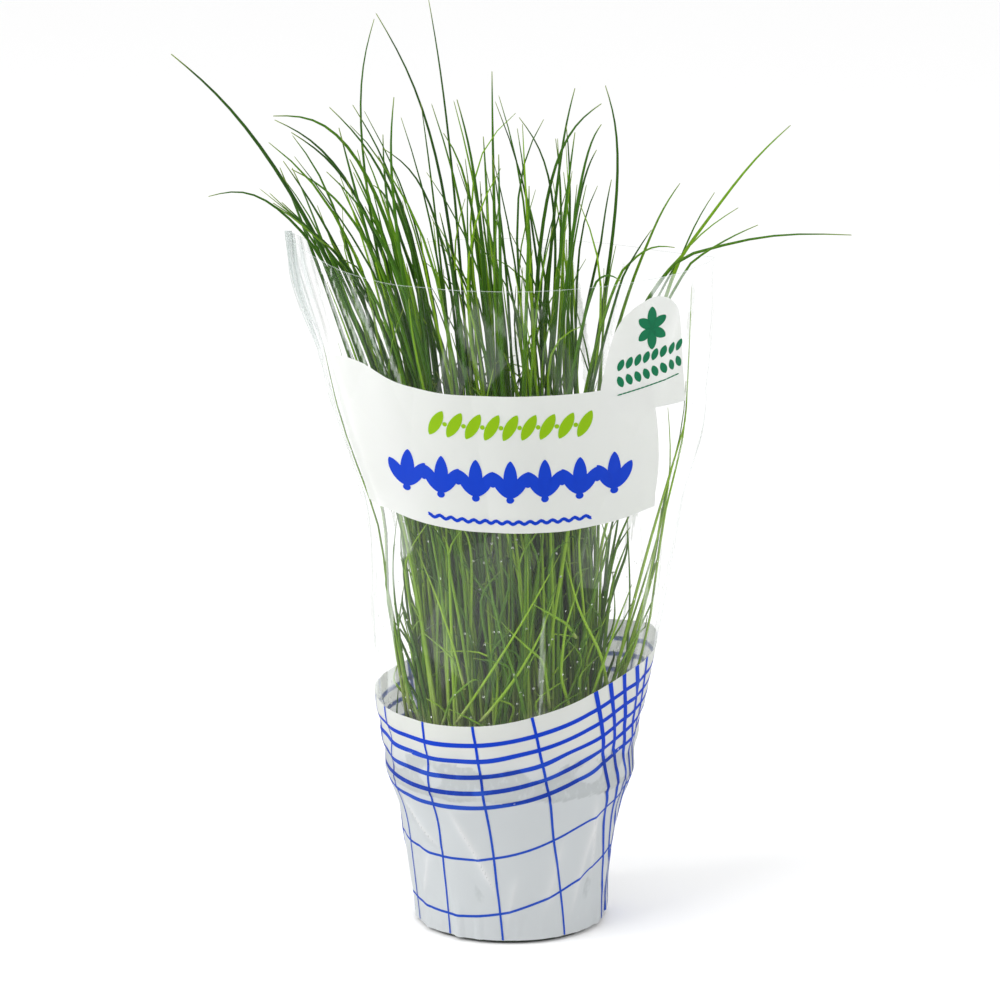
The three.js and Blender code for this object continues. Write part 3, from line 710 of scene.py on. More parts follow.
# Each row: tip x, y, z, how far the last stretch comes from nearer the axis and from above, root radius.
LONG_LEAVES = np.array([
    (-145, -38, 400, 62, -40, 1.6), (-131, -20, 335, 46, 33, 1.1), (-60, 30, 405, -32, -55, 1),
    (-58, -8, 413, 50, -65, 1.1), (-36, 40, 412, 20, -60, 0.9), (-102, -30, 372, 62, 22, 1.4),
    (-105, 48, 357, 62, -4, 1.3), (-95, -14, 362, 52, -18, 1.3), (-93, -60, 354, 55, -14, 1.3),
    (-98, 60, 333, 35, -45, 1.3), (-80, 34, 365, 56, -30, 1.3), (-74, -26, 366, 12, -50, 1.4),
    (-78, -66, 354, 55, -35, 1.3), (-100, 16, 344, 40, -50, 1.3), (-103, -20, 332, 60, -30, 1.3),
    (-50, -36, 381, -14, -50, 1.4), (-57, 56, 349, -6, -45, 1.3), (-23, -24, 378, 26, -50, 1.4),
    (-8, 28, 382, 0, -50, 1.3), (-5, -58, 360, 3, -40, 1.3), (8, -50, 345, -3, -25, 1.3),
    (4, 1, 366, -40, -30, 1), (40, 14, 370, 48, -8, 1.4), (29, 50, 371, 26, -30, 1.3),
    (42, 20, 377, -26, -40, 1.3), (39, -40, 370, 20, -5, 1.2), (39, 62, 341, 25, -5, 1.2),
    (28, -20, 363, 8, -45, 1.4), (123, 10, 361, 49, -33, 1.3), (149, -10, 316, 125, 20, 1.4),
    (76, 44, 329, 26, -20, 1.2), (107, -34, 325, 50, -12, 1.1), (91, 32, 327, 30, -34, 1),
    (101, 22, 322, 60, -22, 1), (70, -64, 321, 45, 16, 1.1), (60, -66, 329, 25, -20, 1),
    (47, -74, 308, 30, 26, 1.1), (-30, -74, 338, 16, -20, 1.2), (-12, 74, 345, 14, -24, 1.3),
    (46, 70, 326, 14, -30, 1.2), (-62, 78, 322, 24, 10, 1.3), (-55, -20, 356, 45, -12, 1),
    (-69, 10, 370, 40, -50, 1.1), (20, 10, 355, -12, -45, 1),
])


def roots_at(angle, share):
    """Points on the crown for a direction and a share of its radius."""
    reach = (CROWN_RADIUS - ROOT_EDGE) * share
    return np.stack([reach * np.cos(angle), reach * np.sin(angle), np.full_like(reach, ROOT_HEIGHT)], -1)


# %% Rows of leaves on a spiral
def fill_rows(count, seed, angle_start, short_share=0.55, low_height=170, tall_scatter=105, fan_scatter=0.9):
    """Roots, tips, approaches and depths: root n lies at n golden angles and the square root of its share."""
    draw = number_draw(seed)
    rows = []
    for index in range(count):
        share = math.sqrt((index + 0.5) / count)
        angle = angle_start + index * GOLDEN_ANGLE + 0.25 * next(draw)
        is_short = next(draw) < short_share
        lean = share ** 0.8 * ((0.5 + 0.35 * next(draw)) if is_short else (0.6 + 0.5 * next(draw)))
        scatter = next(draw)
        tall = FILL_TOP - FILL_DOME * share * share - tall_scatter * scatter
        height = low_height + SHORT_SCATTER * scatter if is_short else tall
        fan = angle + fan_scatter * (next(draw) - 0.5)
        droops = next(draw) < 0.2
        above = 8 + 14 * next(draw) if droops else -50 + 35 * next(draw)
        back = 20 + 20 * next(draw) if droops else 6 + 26 * next(draw)
        x = BUNCH_LEAN * smooth_step(LEAN_START, MOUTH_FRONT, height) + SPREAD[0] * lean * math.cos(fan)
        rows.append((angle, share, x, SPREAD[1] * lean * math.sin(fan), height, back, above, 15 * next(draw)))
    rows = np.array(rows)
    return roots_at(rows[:, 0], rows[:, 1]), rows[:, 2:5], rows[:, 5], rows[:, 6], rows[:, 7]


# %% Leaf paths
ABOVE_MOUTH, FOLD_CLEARANCE = 3.6, 7


def held_by_film(points, clearance, inside=0.0):
    """Moves points inside the film: x within its reach, y within its wall, both eased over the mouth."""
    x, y, z = np.moveaxis(points, -1, 0)
    clearance = clearance + np.reshape(inside, (-1, 1)) * smooth_step(DEPTH_START, DEPTH_FULL, z)
    stations = smooth_table(FILM_STATIONS, np.minimum(z, MOUTH_LEFT_CORNER))
    left, right, depth, sharpness = np.moveaxis(stations, -1, 0)
    side = np.where(x < 0, -1, 1)
    reach = np.where(side < 0, left, right)
    mouth = mouth_height(np.arccos(side * np.minimum(1, np.abs(x) / reach))) + ABOVE_MOUTH
    lean = np.maximum(0, z - mouth) * MOUTH_LEAN
    x = side * np.minimum(np.abs(x), reach - clearance - FOLD_CLEARANCE * sharpness + lean)
    held = np.minimum(0.97, np.abs(x) / reach)
    sine = np.sqrt(1 - held * held)
    wall = depth * ((1 - sharpness) * sine + sharpness * sine * sine)
    y = np.sign(y) * np.minimum(np.abs(y), np.maximum(0, wall - clearance * (1 + held ** 3)) + lean)
    return np.stack([x, y, z], -1)


def leaf_paths(roots, tips, back, above, inside, steps, sideways=0.0, clearance=3.0):
    """Cubic curves: root, a point straight above it, a point set back from the tip and beside it, and tip."""
    t = (np.linspace(0, 1, steps) ** 0.85)[None, :, None]
    outward = tips * [1, 1, 0]
    outward /= np.linalg.norm(outward, axis=1, keepdims=True)
    beside = np.stack([-outward[:, 1], outward[:, 0], outward[:, 2]], -1) * np.reshape(sideways, (-1, 1))
    climb = np.minimum(STRAIGHT_RISE, (tips - roots)[:, 2:])
    rise = roots + roots * [ROOT_SPLAY, ROOT_SPLAY, 0] + [0, 0, 1] * climb
    approach = tips - outward * back[:, None] + above[:, None] * [0, 0, 1] + beside
    curve = ((1 - t) ** 3 * roots[:, None] + 3 * t * (1 - t) ** 2 * rise[:, None]
             + 3 * t * t * (1 - t) * approach[:, None] + t ** 3 * tips[:, None])
    for _ in range(SOFTENINGS):
        curve = held_by_film(curve, clearance, inside)
        curve[:, 1:-1] = 0.5 * curve[:, 1:-1] + 0.25 * (curve[:, :-2] + curve[:, 2:])
    return held_by_film(curve, clearance - 0.6, inside)


# %% Leaf tubes
def tube_points(paths, radii, sides):
    """Rings round each path: centre + radius (across cos a + third sin a), with across held level."""
    along = np.gradient(paths, axis=1)
    along /= np.linalg.norm(along, axis=-1, keepdims=True)
    heading = paths[:, -1, :2] - paths[:, 0, :2]
    level = np.stack([-heading[:, 1], heading[:, 0], np.zeros(len(heading))], -1)
    level = (level / np.linalg.norm(level, axis=-1, keepdims=True))[:, None]
    across = level - along * np.sum(level * along, -1, keepdims=True)
    across /= np.linalg.norm(across, axis=-1, keepdims=True)
    third = np.cross(along, across)
    a = np.linspace(0, 2 * math.pi, sides, endpoint=False)
    ring = across[:, :, None] * np.cos(a)[:, None] + third[:, :, None] * np.sin(a)[:, None]
    return paths[:, :, None] + ring * radii[:, :, None, None]


LEAST_RADIUS, POINT_LENGTH = 0.06, 0.06


def leaf_object(name, paths, root_radius, sides, tone, material):
    """One object of many tubes, thinning as 1 - 0.5 t - 0.38 t^4 and closed by a point at the tip."""
    count, steps = paths.shape[:2]
    share = np.linspace(0, 1, steps)
    radii = np.asarray(root_radius)[:, None] * (1 - 0.5 * share - 0.38 * share ** 4) + LEAST_RADIUS
    rings = tube_points(paths, radii, sides)
    tips = paths[:, -1] + (paths[:, -1] - paths[:, -2]) * POINT_LENGTH
    per_leaf = steps * sides + 1
    points = np.concatenate([rings.reshape(count, -1, 3), tips[:, None]], 1)
    last = (steps - 1) * sides
    cap = [[last + k, last + (k + 1) % sides, steps * sides] for k in range(sides)]
    one_leaf = grid_faces(steps, sides, True).tolist() + cap + [list(range(sides))[::-1]]
    faces = [[corner + leaf * per_leaf for corner in face] for leaf in range(count) for face in one_leaf]
    place = np.concatenate([np.repeat(share, sides), [1.0]])
    return mesh_object(name, points, faces, material, "chives",
                       {"along": np.tile(place, count), "tone": np.repeat(tone, per_leaf)})


# %% [markdown]
# A chive's skin is deep green and waxy, with fine pale lines along it. A noise stretched along the leaf gives
# the lines, and each leaf adds a tone of its own, so that two neighbours differ. One row of greens is for
# the open upper part and a lighter one for the part below, a painted light on the lower bunch, with a pale
# foot and a drier tip.

# %% Leaf material
leaf_green, tree, shader = new_material("chive leaf", Roughness=0.42, IOR=1.42, Specular_IOR_Level=0.18)
along = add_node(tree, "Attribute", attribute_name="along").outputs["Fac"]
tone = add_node(tree, "Attribute", attribute_name="tone").outputs["Fac"]
height = add_node(tree, "SeparateXYZ", {"Vector": object_coordinates(tree)}).outputs["Z"]
streak = add_noise(tree, (900, 900, 45), 3.0)
# Painted light: below about 330 mm the leaves turn to lighter greens, fully so below 170 mm.
low_lit_share = add_node(tree, "MapRange", {"Value": height, "From Min": 0.33, "From Max": 0.17}).outputs["Result"]
mixed = add_node(tree, "Math", {0: streak.outputs["Fac"], 1: 0.45, 2: tone}, operation="MULTIPLY_ADD")
shade = mixed.outputs["Value"]
DEEP_GREENS = [(0.15, (0.007, 0.036, 0.001)), (0.55, (0.036, 0.120, 0.002)), (1.0, (0.16, 0.32, 0.006))]
LOW_LIT_GREENS = [(0.15, (0.020, 0.070, 0.002)), (0.65, (0.060, 0.150, 0.004)), (1.2, (0.20, 0.35, 0.015))]
deep, low_lit = add_ramp(tree, shade, DEEP_GREENS), add_ramp(tree, shade, LOW_LIT_GREENS)
blade = mix_colours(tree, low_lit_share, deep.outputs["Color"], low_lit.outputs["Color"])
foot = add_node(tree, "MapRange", {"Value": along, "From Min": 0.16, "From Max": 0.02}).outputs["Result"]
tip = add_node(tree, "MapRange", {"Value": along, "From Min": 0.94, "From Max": 1.0}).outputs["Result"]
PALE_FOOT, DRY_TIP = (0.36, 0.46, 0.12), (0.17, 0.24, 0.03)
pale = mix_colours(tree, foot, blade, PALE_FOOT)
tree.links.new(mix_colours(tree, tip, pale, DRY_TIP), shader.inputs["Base Color"])
grain = add_node(tree, "Bump", {"Height": streak.outputs["Fac"], "Strength": 0.25, "Distance": 0.0003})
tree.links.new(grain.outputs["Normal"], shader.inputs["Normal"])

# %% Long and fill leaves
LEAF_SEED = 11
LONG_STEPS, LONG_SIDES, LONG_THINNING = 26, 8, 0.88
FILL_STEPS, FILL_SIDES = 12, 5
LAYERS, LAYER_DEPTH = 5, 2.4
RIGHT_SIDE, RIGHT_TONE = 60, 0.3
rng = np.random.default_rng(LEAF_SEED)
long_tips, long_back, long_above = LONG_LEAVES[:, :3], LONG_LEAVES[:, 3], LONG_LEAVES[:, 4]
share_x, share_y = long_tips[:, 0] / SPREAD[0], long_tips[:, 1] / SPREAD[1]
long_share = LONG_ROOT_SHARE * np.minimum(1, np.hypot(share_x, share_y))
long_roots = roots_at(np.arctan2(share_y, share_x), long_share)
long_inside = np.arange(len(long_tips)) % LAYERS * LAYER_DEPTH
long_tones = rng.uniform(0, 0.4, len(long_tips)) + RIGHT_TONE * (long_tips[:, 0] > RIGHT_SIDE)
long_paths = leaf_paths(long_roots, long_tips, long_back, long_above, long_inside, LONG_STEPS)
leaf_object("long_leaves", long_paths, LONG_LEAVES[:, 5] * LONG_THINNING, LONG_SIDES, long_tones, leaf_green)


def scattered_leaves(name, rows, bow, radii, tones):
    """Leaves of one kind from their rows, with a sideways bow, a radius and a tone drawn between limits."""
    roots, tips, back, above, inside = rows
    count = len(tips)
    paths = leaf_paths(roots, tips, back, above, inside, FILL_STEPS, rng.uniform(-bow, bow, count))
    root_radius, tone = rng.uniform(*radii, count), rng.uniform(*tones, count)
    return leaf_object(name, paths, root_radius, FILL_SIDES, tone, leaf_green)


broad_rows = fill_rows(FILL_LEAVES, FILL_SEED, 0)
fill_leaves = scattered_leaves("fill_leaves", broad_rows, 30, (0.7, 1.05), (0, 0.7))
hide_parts("chives")

# %% [markdown]
# Between the broad leaves stand younger, finer ones, and round the edge short leaves lean outwards on the
# film. Some leaves are pressed by the film and lie across the others: these are bent lines of four points
# on its inside, sharply kinked in front and soft at the sides. One more lies in the left side fold.

# %% Fine and skirt leaves
FINE_LEAVES, FINE_SEED, FINE_START = 380, 5501, 1.3
SKIRT_LEAVES, SKIRT_REACH, SKIRT_TIPS = 110, (46, 57), (98, 205)
LEANING_LEAVES, LEANING_X, LEANING_Y, LEANING_TIPS = 24, (-112, -52), (-62, 62), (302, 364)
fine_rows = fill_rows(FINE_LEAVES, FINE_SEED, FINE_START, short_share=0.84, low_height=130,
                      tall_scatter=100, fan_scatter=1.6)
scattered_leaves("fine_leaves", fine_rows, 60, (0.6, 0.95), (0.1, 1))


def drawn_rows(angle, share, tips, back, above):
    """Rows like those of fill_rows, from limits for each value."""
    count = len(tips)
    return (roots_at(angle, rng.uniform(*share, count)), tips, rng.uniform(*back, count),
            rng.uniform(*above, count), rng.uniform(0, 12, count))


skirt_angle = np.arange(SKIRT_LEAVES) * GOLDEN_ANGLE
skirt_reach = rng.uniform(*SKIRT_REACH, SKIRT_LEAVES)
skirt_tips = np.stack([skirt_reach * np.cos(skirt_angle), skirt_reach * np.sin(skirt_angle),
                       rng.uniform(*SKIRT_TIPS, SKIRT_LEAVES)], -1)
skirt_rows = drawn_rows(skirt_angle, (0.8, 1), skirt_tips, (2, 12), (-40, 0))
scattered_leaves("skirt_leaves", skirt_rows, 44, (0.6, 0.95), (0.2, 0.85))
leaning_tips = np.stack([rng.uniform(*limits, LEANING_LEAVES)
                         for limits in (LEANING_X, LEANING_Y, LEANING_TIPS)], -1)
leaning_angle = np.arctan2(leaning_tips[:, 1], leaning_tips[:, 0])
leaning_rows = drawn_rows(leaning_angle, (0.1, 0.9), leaning_tips, (6, 40), (-30, 14))
scattered_leaves("leaning_leaves", leaning_rows, 30, (0.7, 1.4), (0, 0.6))

# %% Pressed leaves
# Each row: how far in front of the axis, then x and height of four points from foot to tip; all are kept
# inside the film, so the first number 80 means on the front film.
PRESSED = [
    (80, -24, 102, -8, 130, 7, 155, 22, 180), (80, -13, 104, 2, 126, 13, 145, 20, 163),
    (80, 17.5, 110, 15, 134, 6, 142, -4, 150), (80, 29, 141, 25, 150, 18, 155, 10, 158),
    (80, -20, 118, -25, 140, -32, 160, -41, 178), (80, 34, 106, 40, 126, 47, 146, 54, 160),
    (80, 44, 112, 40, 134, 30, 156, 24, 178), (80, 8, 100, 4, 122, -4, 146, -10, 172),
    (80, -40, 100, -46, 118, -50, 140, -47, 160), (80, -30, 100, -26, 116, -16, 126, -10, 122),
    (80, 28, 104, 22, 126, 24, 148, 32, 170), (80, 50, 118, 56, 134, 60, 152, 66, 168),
]
SIDEWAYS = [
    (8, 50, 92, 70, 166, 85, 235, 80, 292), (16, 42, 96, 58, 166, 70, 208, 80, 240),
    (20, 46, 100, 58, 148, 65, 176, 67, 194), (24, 38, 100, 51, 130, 62, 148, 68, 160),
    (12, 50, 96, 54, 148, 53, 166, 52, 190), (4, 44, 92, 56, 139, 65, 166, 76, 194),
    (0, 40, 90, 58, 150, 74, 200, 70, 236), (-14, 44, 90, 60, 140, 72, 190, 84, 246),
    (14, -44, 96, -51, 148, -53, 166, -50, 190), (2, -46, 92, -58, 176, -72, 226, -82, 266),
    (10, -44, 94, -56, 170, -68, 206, -74, 240), (-10, 46, 92, 50, 120, 60, 134, 72, 138),
]
# Each row: height and x of a leaf that lies in the left side fold.
FOLD_LEAF = [(86, -40), (140, -53), (187, -60), (210, -68), (231, -75), (265, -82.6)]
PRESSED_STEPS, PRESSED_SOFTENINGS, SIDEWAYS_SOFTENINGS = 14, 1, 9
CLEAR_OF_FILM = 4.5
END_DEPTH = 9


# %% Paths of pressed leaves
def pressed_paths(rows, softenings):
    """Broken lines through four points, softened by averaging with both neighbours, kept inside the film."""
    rows = np.array(rows, float)
    corners = rows[:, 1:].reshape(len(rows), 4, 2)
    place = np.linspace(0, 3, PRESSED_STEPS)
    low = np.minimum(place.astype(int), 2)
    flat = blend_between(corners[:, low], corners[:, low + 1], (place - low)[None, :, None])
    for _ in range(softenings):
        flat[:, 1:-1] = 0.5 * flat[:, 1:-1] + 0.25 * (flat[:, :-2] + flat[:, 2:])
    x, z = flat[..., 0], flat[..., 1]
    return held_by_film(np.stack([x, -rows[:, :1] + 0 * x, z], -1), CLEAR_OF_FILM)


def bent_back(paths):
    """Sets each path's two ends a little deeper, by the square of the distance from its middle."""
    away = np.linspace(-1, 1, paths.shape[1])[None, :] ** 2
    paths[..., 1] += END_DEPTH * away
    return paths


fold_height = np.linspace(FOLD_LEAF[0][0], FOLD_LEAF[-1][0], PRESSED_STEPS)
fold_path = np.stack([smooth_table(FOLD_LEAF, fold_height)[..., 0], 0 * fold_height, fold_height], -1)
front_paths = bent_back(pressed_paths(PRESSED, PRESSED_SOFTENINGS))
bent_leaves = np.concatenate([front_paths, pressed_paths(SIDEWAYS, SIDEWAYS_SOFTENINGS), fold_path[None]])
leaf_object("pressed_leaves", bent_leaves, rng.uniform(0.55, 0.8, len(bent_leaves)), 6,
            rng.uniform(0.4, 0.9, len(bent_leaves)), leaf_green)

# %% [markdown]
# The pot is a thin black-green tub of pressed plastic: a tapered wall, a wider band at the rim with a rolled
# lip, and a floor with eight drain holes. The wall is a profile turned round the axis. The floor is cut into
# eight sectors, and in each one the points run from the hole's circle out to the sector's own edge.

# %% Pot material
pot_plastic, tree, shader = new_material("pot plastic", Roughness=0.42)
scuff = add_noise(tree, (160, 160, 60), 5.0)
plastic = add_ramp(tree, scuff.outputs["Fac"], [(0.3, (0.010, 0.016, 0.010)), (0.75, (0.032, 0.044, 0.030))])
tree.links.new(plastic.outputs["Color"], shader.inputs["Base Color"])
worn = add_node(tree, "MapRange", {"Value": scuff.outputs["Fac"], "To Min": 0.34, "To Max": 0.62})
tree.links.new(worn.outputs["Result"], shader.inputs["Roughness"])
fine = add_node(tree, "TexNoise", {"Vector": object_coordinates(tree), "Scale": 2400.0})
grain = add_node(tree, "Bump", {"Height": fine.outputs["Fac"], "Strength": 0.12, "Distance": 0.0002})
tree.links.new(grain.outputs["Normal"], shader.inputs["Normal"])

# %% Pot
POT_FLOOR = 1.6
SECTORS, SIDE_POINTS = 8, 8
POT_COLUMNS = SECTORS * SIDE_POINTS * 2
DRAIN_RING, DRAIN_RADIUS = 27, 3.6
FLOOR_INNER, FLOOR_OUTER = 19, 35
top_height = POT_HIGH[2]
# Profile from the floor's outer ring over the outside, the lip and the inside, back to its upper ring.
POT_PROFILE = np.array([
    (FLOOR_OUTER, 0), (39.4, 0), (40.5, 0.25), (41, 0.9), (42.6, 15), (45.2, 40), (48.2, 68.6), (48.6, 70.6),
    (49.9, 71.4), (54.4, 71.5), (55.0, 71.9), (55.15, 72.8), (55.35, 80), (55.45, 84.6), (55.3, 85.6),
    (54.85, top_height), (54.4, 85.7), (54.2, 84.9), (53.95, 74), (53.6, 73.2), (48.6, 72.8), (47.7, 72.2),
    (47.3, 71.0), (46.8, 68.6), (43.9, 40), (41.3, 15), (39.9, 3.2), (39, 1.9), (37.6, POT_FLOOR),
    (FLOOR_OUTER, POT_FLOOR),
])


# %% Pot wall
def turned_points(profile, columns):
    """Points of a profile carried round the axis: (r cos a, r sin a, z)."""
    a = np.linspace(0, 2 * math.pi, columns, endpoint=False)[None, :]
    radius, z = profile[:, 0][:, None], profile[:, 1][:, None]
    return np.stack([radius * np.cos(a), radius * np.sin(a), z + 0 * a], -1)


# %% Pot floor
def sector_outline():
    """Outline of one floor sector as radius and angle, each side cut into the same number of steps."""
    step = np.linspace(0, 1, SIDE_POINTS * 2, endpoint=False)
    half = math.pi / SECTORS
    outer = np.stack([np.full_like(step, FLOOR_OUTER), blend_between(-half, half, step)], -1)
    left = np.stack([blend_between(FLOOR_OUTER, FLOOR_INNER, step), np.full_like(step, half)], -1)
    inner = np.stack([np.full_like(step, FLOOR_INNER), blend_between(half, -half, step)], -1)
    right = np.stack([blend_between(FLOOR_INNER, FLOOR_OUTER, step), np.full_like(step, -half)], -1)
    return np.concatenate([outer, left, inner, right])


def floor_points(height):
    """Rings of each sector from the drain hole's circle to the sector's outline, at one height."""
    radius, angle = sector_outline().T
    edge = np.stack([radius * np.cos(angle), radius * np.sin(angle)], -1)
    toward = edge - [DRAIN_RING, 0]
    hole = [DRAIN_RING, 0] + DRAIN_RADIUS * toward / np.linalg.norm(toward, axis=1, keepdims=True)
    rings = np.stack([blend_between(hole, edge, share) for share in np.linspace(0, 1, 4)])
    turn = np.arange(SECTORS) * 2 * math.pi / SECTORS
    cosine, sine = np.cos(turn)[:, None, None], np.sin(turn)[:, None, None]
    x = rings[None, ..., 0] * cosine - rings[None, ..., 1] * sine
    y = rings[None, ..., 0] * sine + rings[None, ..., 1] * cosine
    return np.stack([x, y, np.full_like(x, height)], -1)


# %% Pot from its parts
def pot_parts():
    """Grids of the pot: the turned wall, both sides of the floor, the walls of its holes, and its middle."""
    parts = [turned_points(POT_PROFILE, POT_COLUMNS)]
    under, upper = floor_points(0), floor_points(POT_FLOOR)
    parts += [*under, *upper]
    parts += [np.stack([low[0], high[0]]) for low, high in zip(under, upper)]
    for height in (0, POT_FLOOR):
        middle = np.array([(radius, height) for radius in (0.0, 6, 12, FLOOR_INNER)])
        parts.append(turned_points(middle, POT_COLUMNS))
    return parts


def join_grids(parts):
    """One list of points and one of faces from several wrapped grids."""
    points, faces, start = [], [], 0
    for grid in parts:
        points.append(grid.reshape(-1, 3))
        faces.append(grid_faces(grid.shape[0], grid.shape[1], True) + start)
        start += grid.shape[0] * grid.shape[1]
    return np.concatenate(points), np.concatenate(faces)


pot = merged_outwards(mesh_object("nursery_pot", *join_grids(pot_parts()), pot_plastic, "pot"))
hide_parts("pot")

# %% [markdown]
# Under the leaves lies a plug of dark peat. Its top is a polar grid whose height is broken up by waves of
# several lengths, and small crumbs lie on it.

# %% Soil material
peat, tree, shader = new_material("moist peat", Roughness=0.92)
clod = add_node(tree, "TexNoise",
                {"Vector": object_coordinates(tree), "Scale": 420.0, "Detail": 6.0, "Roughness": 0.7})
PEAT_BROWNS = [(0.3, (0.008, 0.005, 0.003)), (0.55, (0.032, 0.019, 0.011)), (0.8, (0.10, 0.065, 0.04))]
earth = add_ramp(tree, clod.outputs["Fac"], PEAT_BROWNS)
tree.links.new(earth.outputs["Color"], shader.inputs["Base Color"])
grain = add_node(tree, "Bump", {"Height": clod.outputs["Fac"], "Strength": 0.8, "Distance": 0.001})
tree.links.new(grain.outputs["Normal"], shader.inputs["Normal"])

# %% Soil
SOIL_TOP = 77
SOIL_COLUMNS = 160
SOIL_EDGE = 53.2


def soil_height(x, y):
    """Height of the soil's top: waves of 25, 9, 5 and 3 mm length, lower at the pot's wall."""
    radius = np.hypot(x, y)
    waves = (0.5 * np.sin(0.25 * x + 0.4) * np.cos(0.23 * y)
             + 0.35 * np.sin(0.7 * x + 0.3 * y) * np.sin(0.66 * y - 0.2 * x)
             + 0.3 * np.sin(1.27 * x - 0.8 * y + 1)
             + 0.25 * np.sin(2.1 * y + 1.1 * x) * np.cos(1.9 * x))
    return SOIL_TOP - 0.2 + waves - 2.2 * smooth_step(46, SOIL_EDGE, radius)


# %% Peat plug
wall = np.array([(0, 2.0), (30, 2.0), (41.4, 2.0), (47.4, 73.2), (SOIL_EDGE, 73.3)])
rings = np.array([(radius, 0) for radius in np.linspace(SOIL_EDGE, 0, 56)])
top_grid = turned_points(rings, SOIL_COLUMNS)
top_grid[..., 2] = soil_height(top_grid[..., 0], top_grid[..., 1])
soil_points = np.concatenate([turned_points(wall, SOIL_COLUMNS), top_grid])
soil_faces = grid_faces(*soil_points.shape[:2], True)
soil = merged_outwards(mesh_object("peat", soil_points, soil_faces, peat, "soil"))
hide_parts("soil")

# %% Small balls for crumbs and drops
BALL_ROWS, BALL_SIDES = 5, 6
CRUMBS, CRUMB_REACH = 240, 52


def small_balls(name, centres, radii, flatness, material, slot):
    """Many low balls: rings of radius sin(v) at height cos(v), squeezed by flatness along their normal."""
    v = np.linspace(0, math.pi, BALL_ROWS)[:, None]
    a = np.linspace(0, 2 * math.pi, BALL_SIDES, endpoint=False)[None, :]
    ball = np.stack([np.sin(v) * np.cos(a), np.sin(v) * np.sin(a), np.cos(v) + 0 * a], -1).reshape(-1, 3)
    outward = centres * [1, 1, 0]
    outward /= np.linalg.norm(outward, axis=1, keepdims=True) + 1e-9
    scaled = ball[None] * radii[:, None, None]
    normal = outward[:, None]
    squeezed = scaled - normal * np.sum(scaled * normal, -1, keepdims=True) * (1 - flatness)
    points = centres[:, None] + squeezed
    starts = np.arange(len(centres)) * len(ball)
    faces = grid_faces(BALL_ROWS, BALL_SIDES, True)[None] + starts[:, None, None]
    return merged_outwards(mesh_object(name, points, faces.reshape(-1, 4), material, slot))


# %% Peat crumbs
crumb_angle = rng.uniform(0, 2 * math.pi, CRUMBS)
crumb_reach = CRUMB_REACH * np.sqrt(rng.uniform(0.02, 1, CRUMBS))
crumb_x, crumb_y = crumb_reach * np.cos(crumb_angle), crumb_reach * np.sin(crumb_angle)
crumbs = np.stack([crumb_x, crumb_y, soil_height(crumb_x, crumb_y) + 0.2], -1)
small_balls("peat_crumbs", crumbs, rng.uniform(0.4, 1.2, CRUMBS), 1.0, peat, "soil")

# %% [markdown]
# Living leaves breathe out water, and it gathers as small drops on the inside of the film, most of them low
# down and in patches. Each drop is a flattened ball of clear water.

# %% Water drops
water, tree, shader = new_material("water drop", Roughness=0.03, IOR=1.33, Transmission_Weight=1.0)
mist = add_node(tree, "TexNoise", {"Vector": object_coordinates(tree), "Scale": 900.0})
clear = add_ramp(tree, mist.outputs["Fac"], [(0.3, (0.93, 0.97, 0.97)), (0.7, (1.0, 1.0, 1.0))])
tree.links.new(clear.outputs["Color"], shader.inputs["Base Color"])
DROPS, DROP_FOOT, DROP_SPAN = 1100, 96, 150
drop_angle = rng.uniform(-math.pi, math.pi, DROPS)
drop_height = DROP_FOOT + DROP_SPAN * rng.uniform(0, 1, DROPS) ** 1.5
waves = np.sin(5 * drop_angle + 0.05 * drop_height) * np.sin(3 * drop_angle - 0.07 * drop_height)
kept = 0.5 + 0.5 * waves > rng.uniform(0, 1, DROPS) ** 1.2
drop_places, _ = film_surface(drop_angle[kept], drop_height[kept], -0.35)
small_balls("water_drops", drop_places, rng.uniform(0.2, 0.55, int(kept.sum())), 0.4, water, "sleeve")

# %% [markdown]
# The camera stands where the photograph was taken from: far off with a long lens, a little above the pot and
# square to the front. The floor and the background are white, a large lamp from the upper left gives the
# soft shadow on the right, and two narrow lamps draw bright lines on the film's creases.

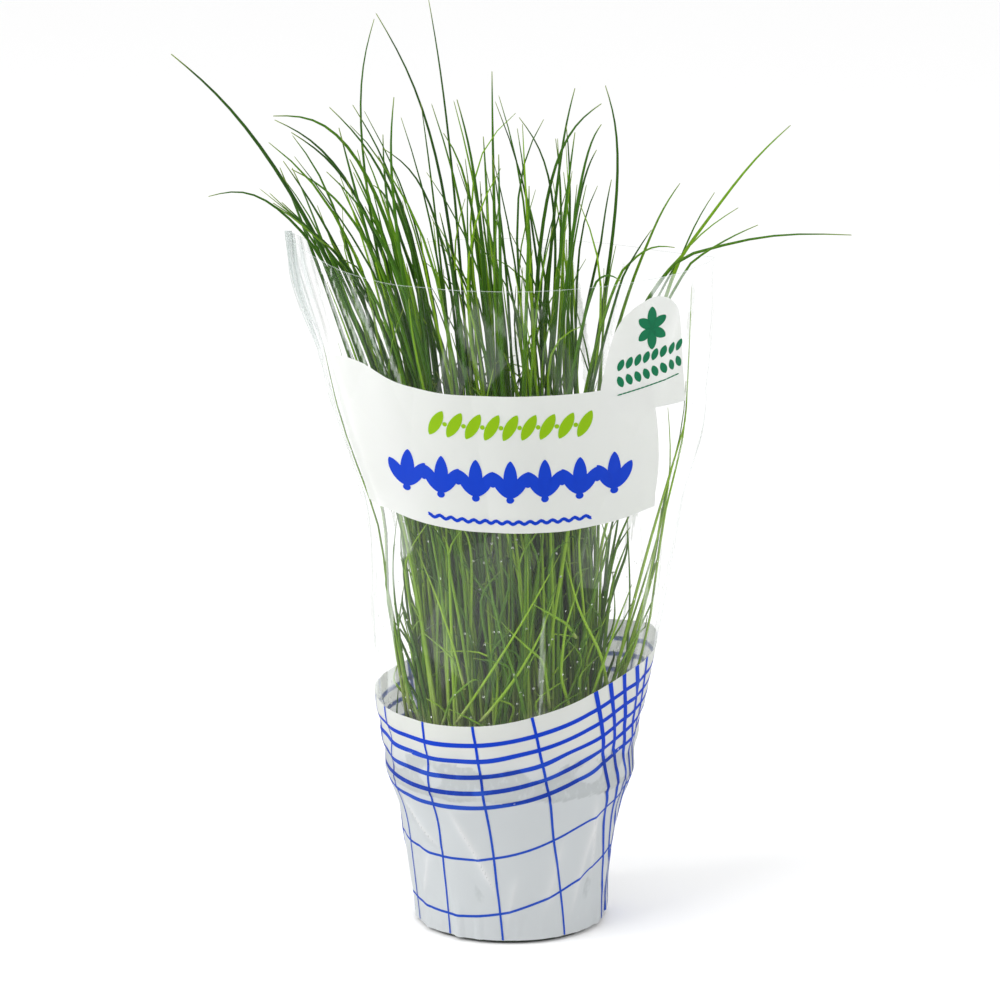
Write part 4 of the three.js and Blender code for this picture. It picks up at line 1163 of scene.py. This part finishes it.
# %% Camera
PHOTO_PIXELS = 1000
MM_PER_PIXEL = 0.4455
CAMERA_DISTANCE = 2200
CAMERA_ELEVATION = math.radians(14)
AIM_HEIGHT = 194
AXIS_PIXEL = 510
SENSOR_WIDTH = 36
lens_data = bpy.data.cameras.new("camera")
lens_data.sensor_width = SENSOR_WIDTH
lens_data.lens = SENSOR_WIDTH * CAMERA_DISTANCE / MM_PER_PIXEL / PHOTO_PIXELS
lens_data.clip_end = 50
camera = bpy.data.objects.new("camera", lens_data)
bpy.context.scene.collection.objects.link(camera)
aim = np.array([(PHOTO_PIXELS / 2 - AXIS_PIXEL) * MM_PER_PIXEL, 0, AIM_HEIGHT])
away = np.array([0, -math.cos(CAMERA_ELEVATION), math.sin(CAMERA_ELEVATION)])
camera.location = Vector((aim + away * CAMERA_DISTANCE) * MM)
camera.rotation_euler = Vector(-away).to_track_quat("-Z", "Y").to_euler()
bpy.context.scene.camera = camera
print("lens", round(lens_data.lens, 1), "mm")

# %% Floor and background
floor_paint, tree, shader = new_material("floor white", Roughness=0.9)
shader.inputs["Base Color"].default_value = (0.95, 0.95, 0.95, 1)
floor_mesh = bpy.data.meshes.new("floor")
floor_mesh.from_pydata([(-6, -6, 0), (6, -6, 0), (6, 6, 0), (-6, 6, 0)], [], [(0, 1, 2, 3)])
floor_mesh.materials.append(floor_paint)
floor = bpy.data.objects.new("floor", floor_mesh)
bpy.context.scene.collection.objects.link(floor)
world = bpy.data.worlds.new("studio")
bpy.context.scene.world = world
world.use_nodes = True
world.node_tree.nodes["Background"].inputs["Color"].default_value = (1, 1, 1, 1)
world.node_tree.nodes["Background"].inputs["Strength"].default_value = 1.0
bpy.context.scene.view_settings.view_transform = "Standard"


# %% Lamps
def add_lamp(name, place, target, width, depth, power):
    """A rectangular area lamp at a place in metres, turned to a target."""
    data = bpy.data.lights.new(name, "AREA")
    data.shape, data.size, data.size_y, data.energy = "RECTANGLE", width, depth, power
    lamp = bpy.data.objects.new(name, data)
    lamp.location = place
    lamp.rotation_euler = (Vector(target) - Vector(place)).to_track_quat("-Z", "Y").to_euler()
    bpy.context.scene.collection.objects.link(lamp)


add_lamp("key lamp", (-1.1, -0.9, 1.7), (0, 0, 0.2), 1.1, 1.1, 16)
add_lamp("left strip", (-1.5, -0.3, 0.5), (0, 0, 0.2), 0.25, 1.4, 9)
add_lamp("right strip", (1.4, -0.5, 0.5), (0, 0, 0.2), 0.12, 1.4, 5)
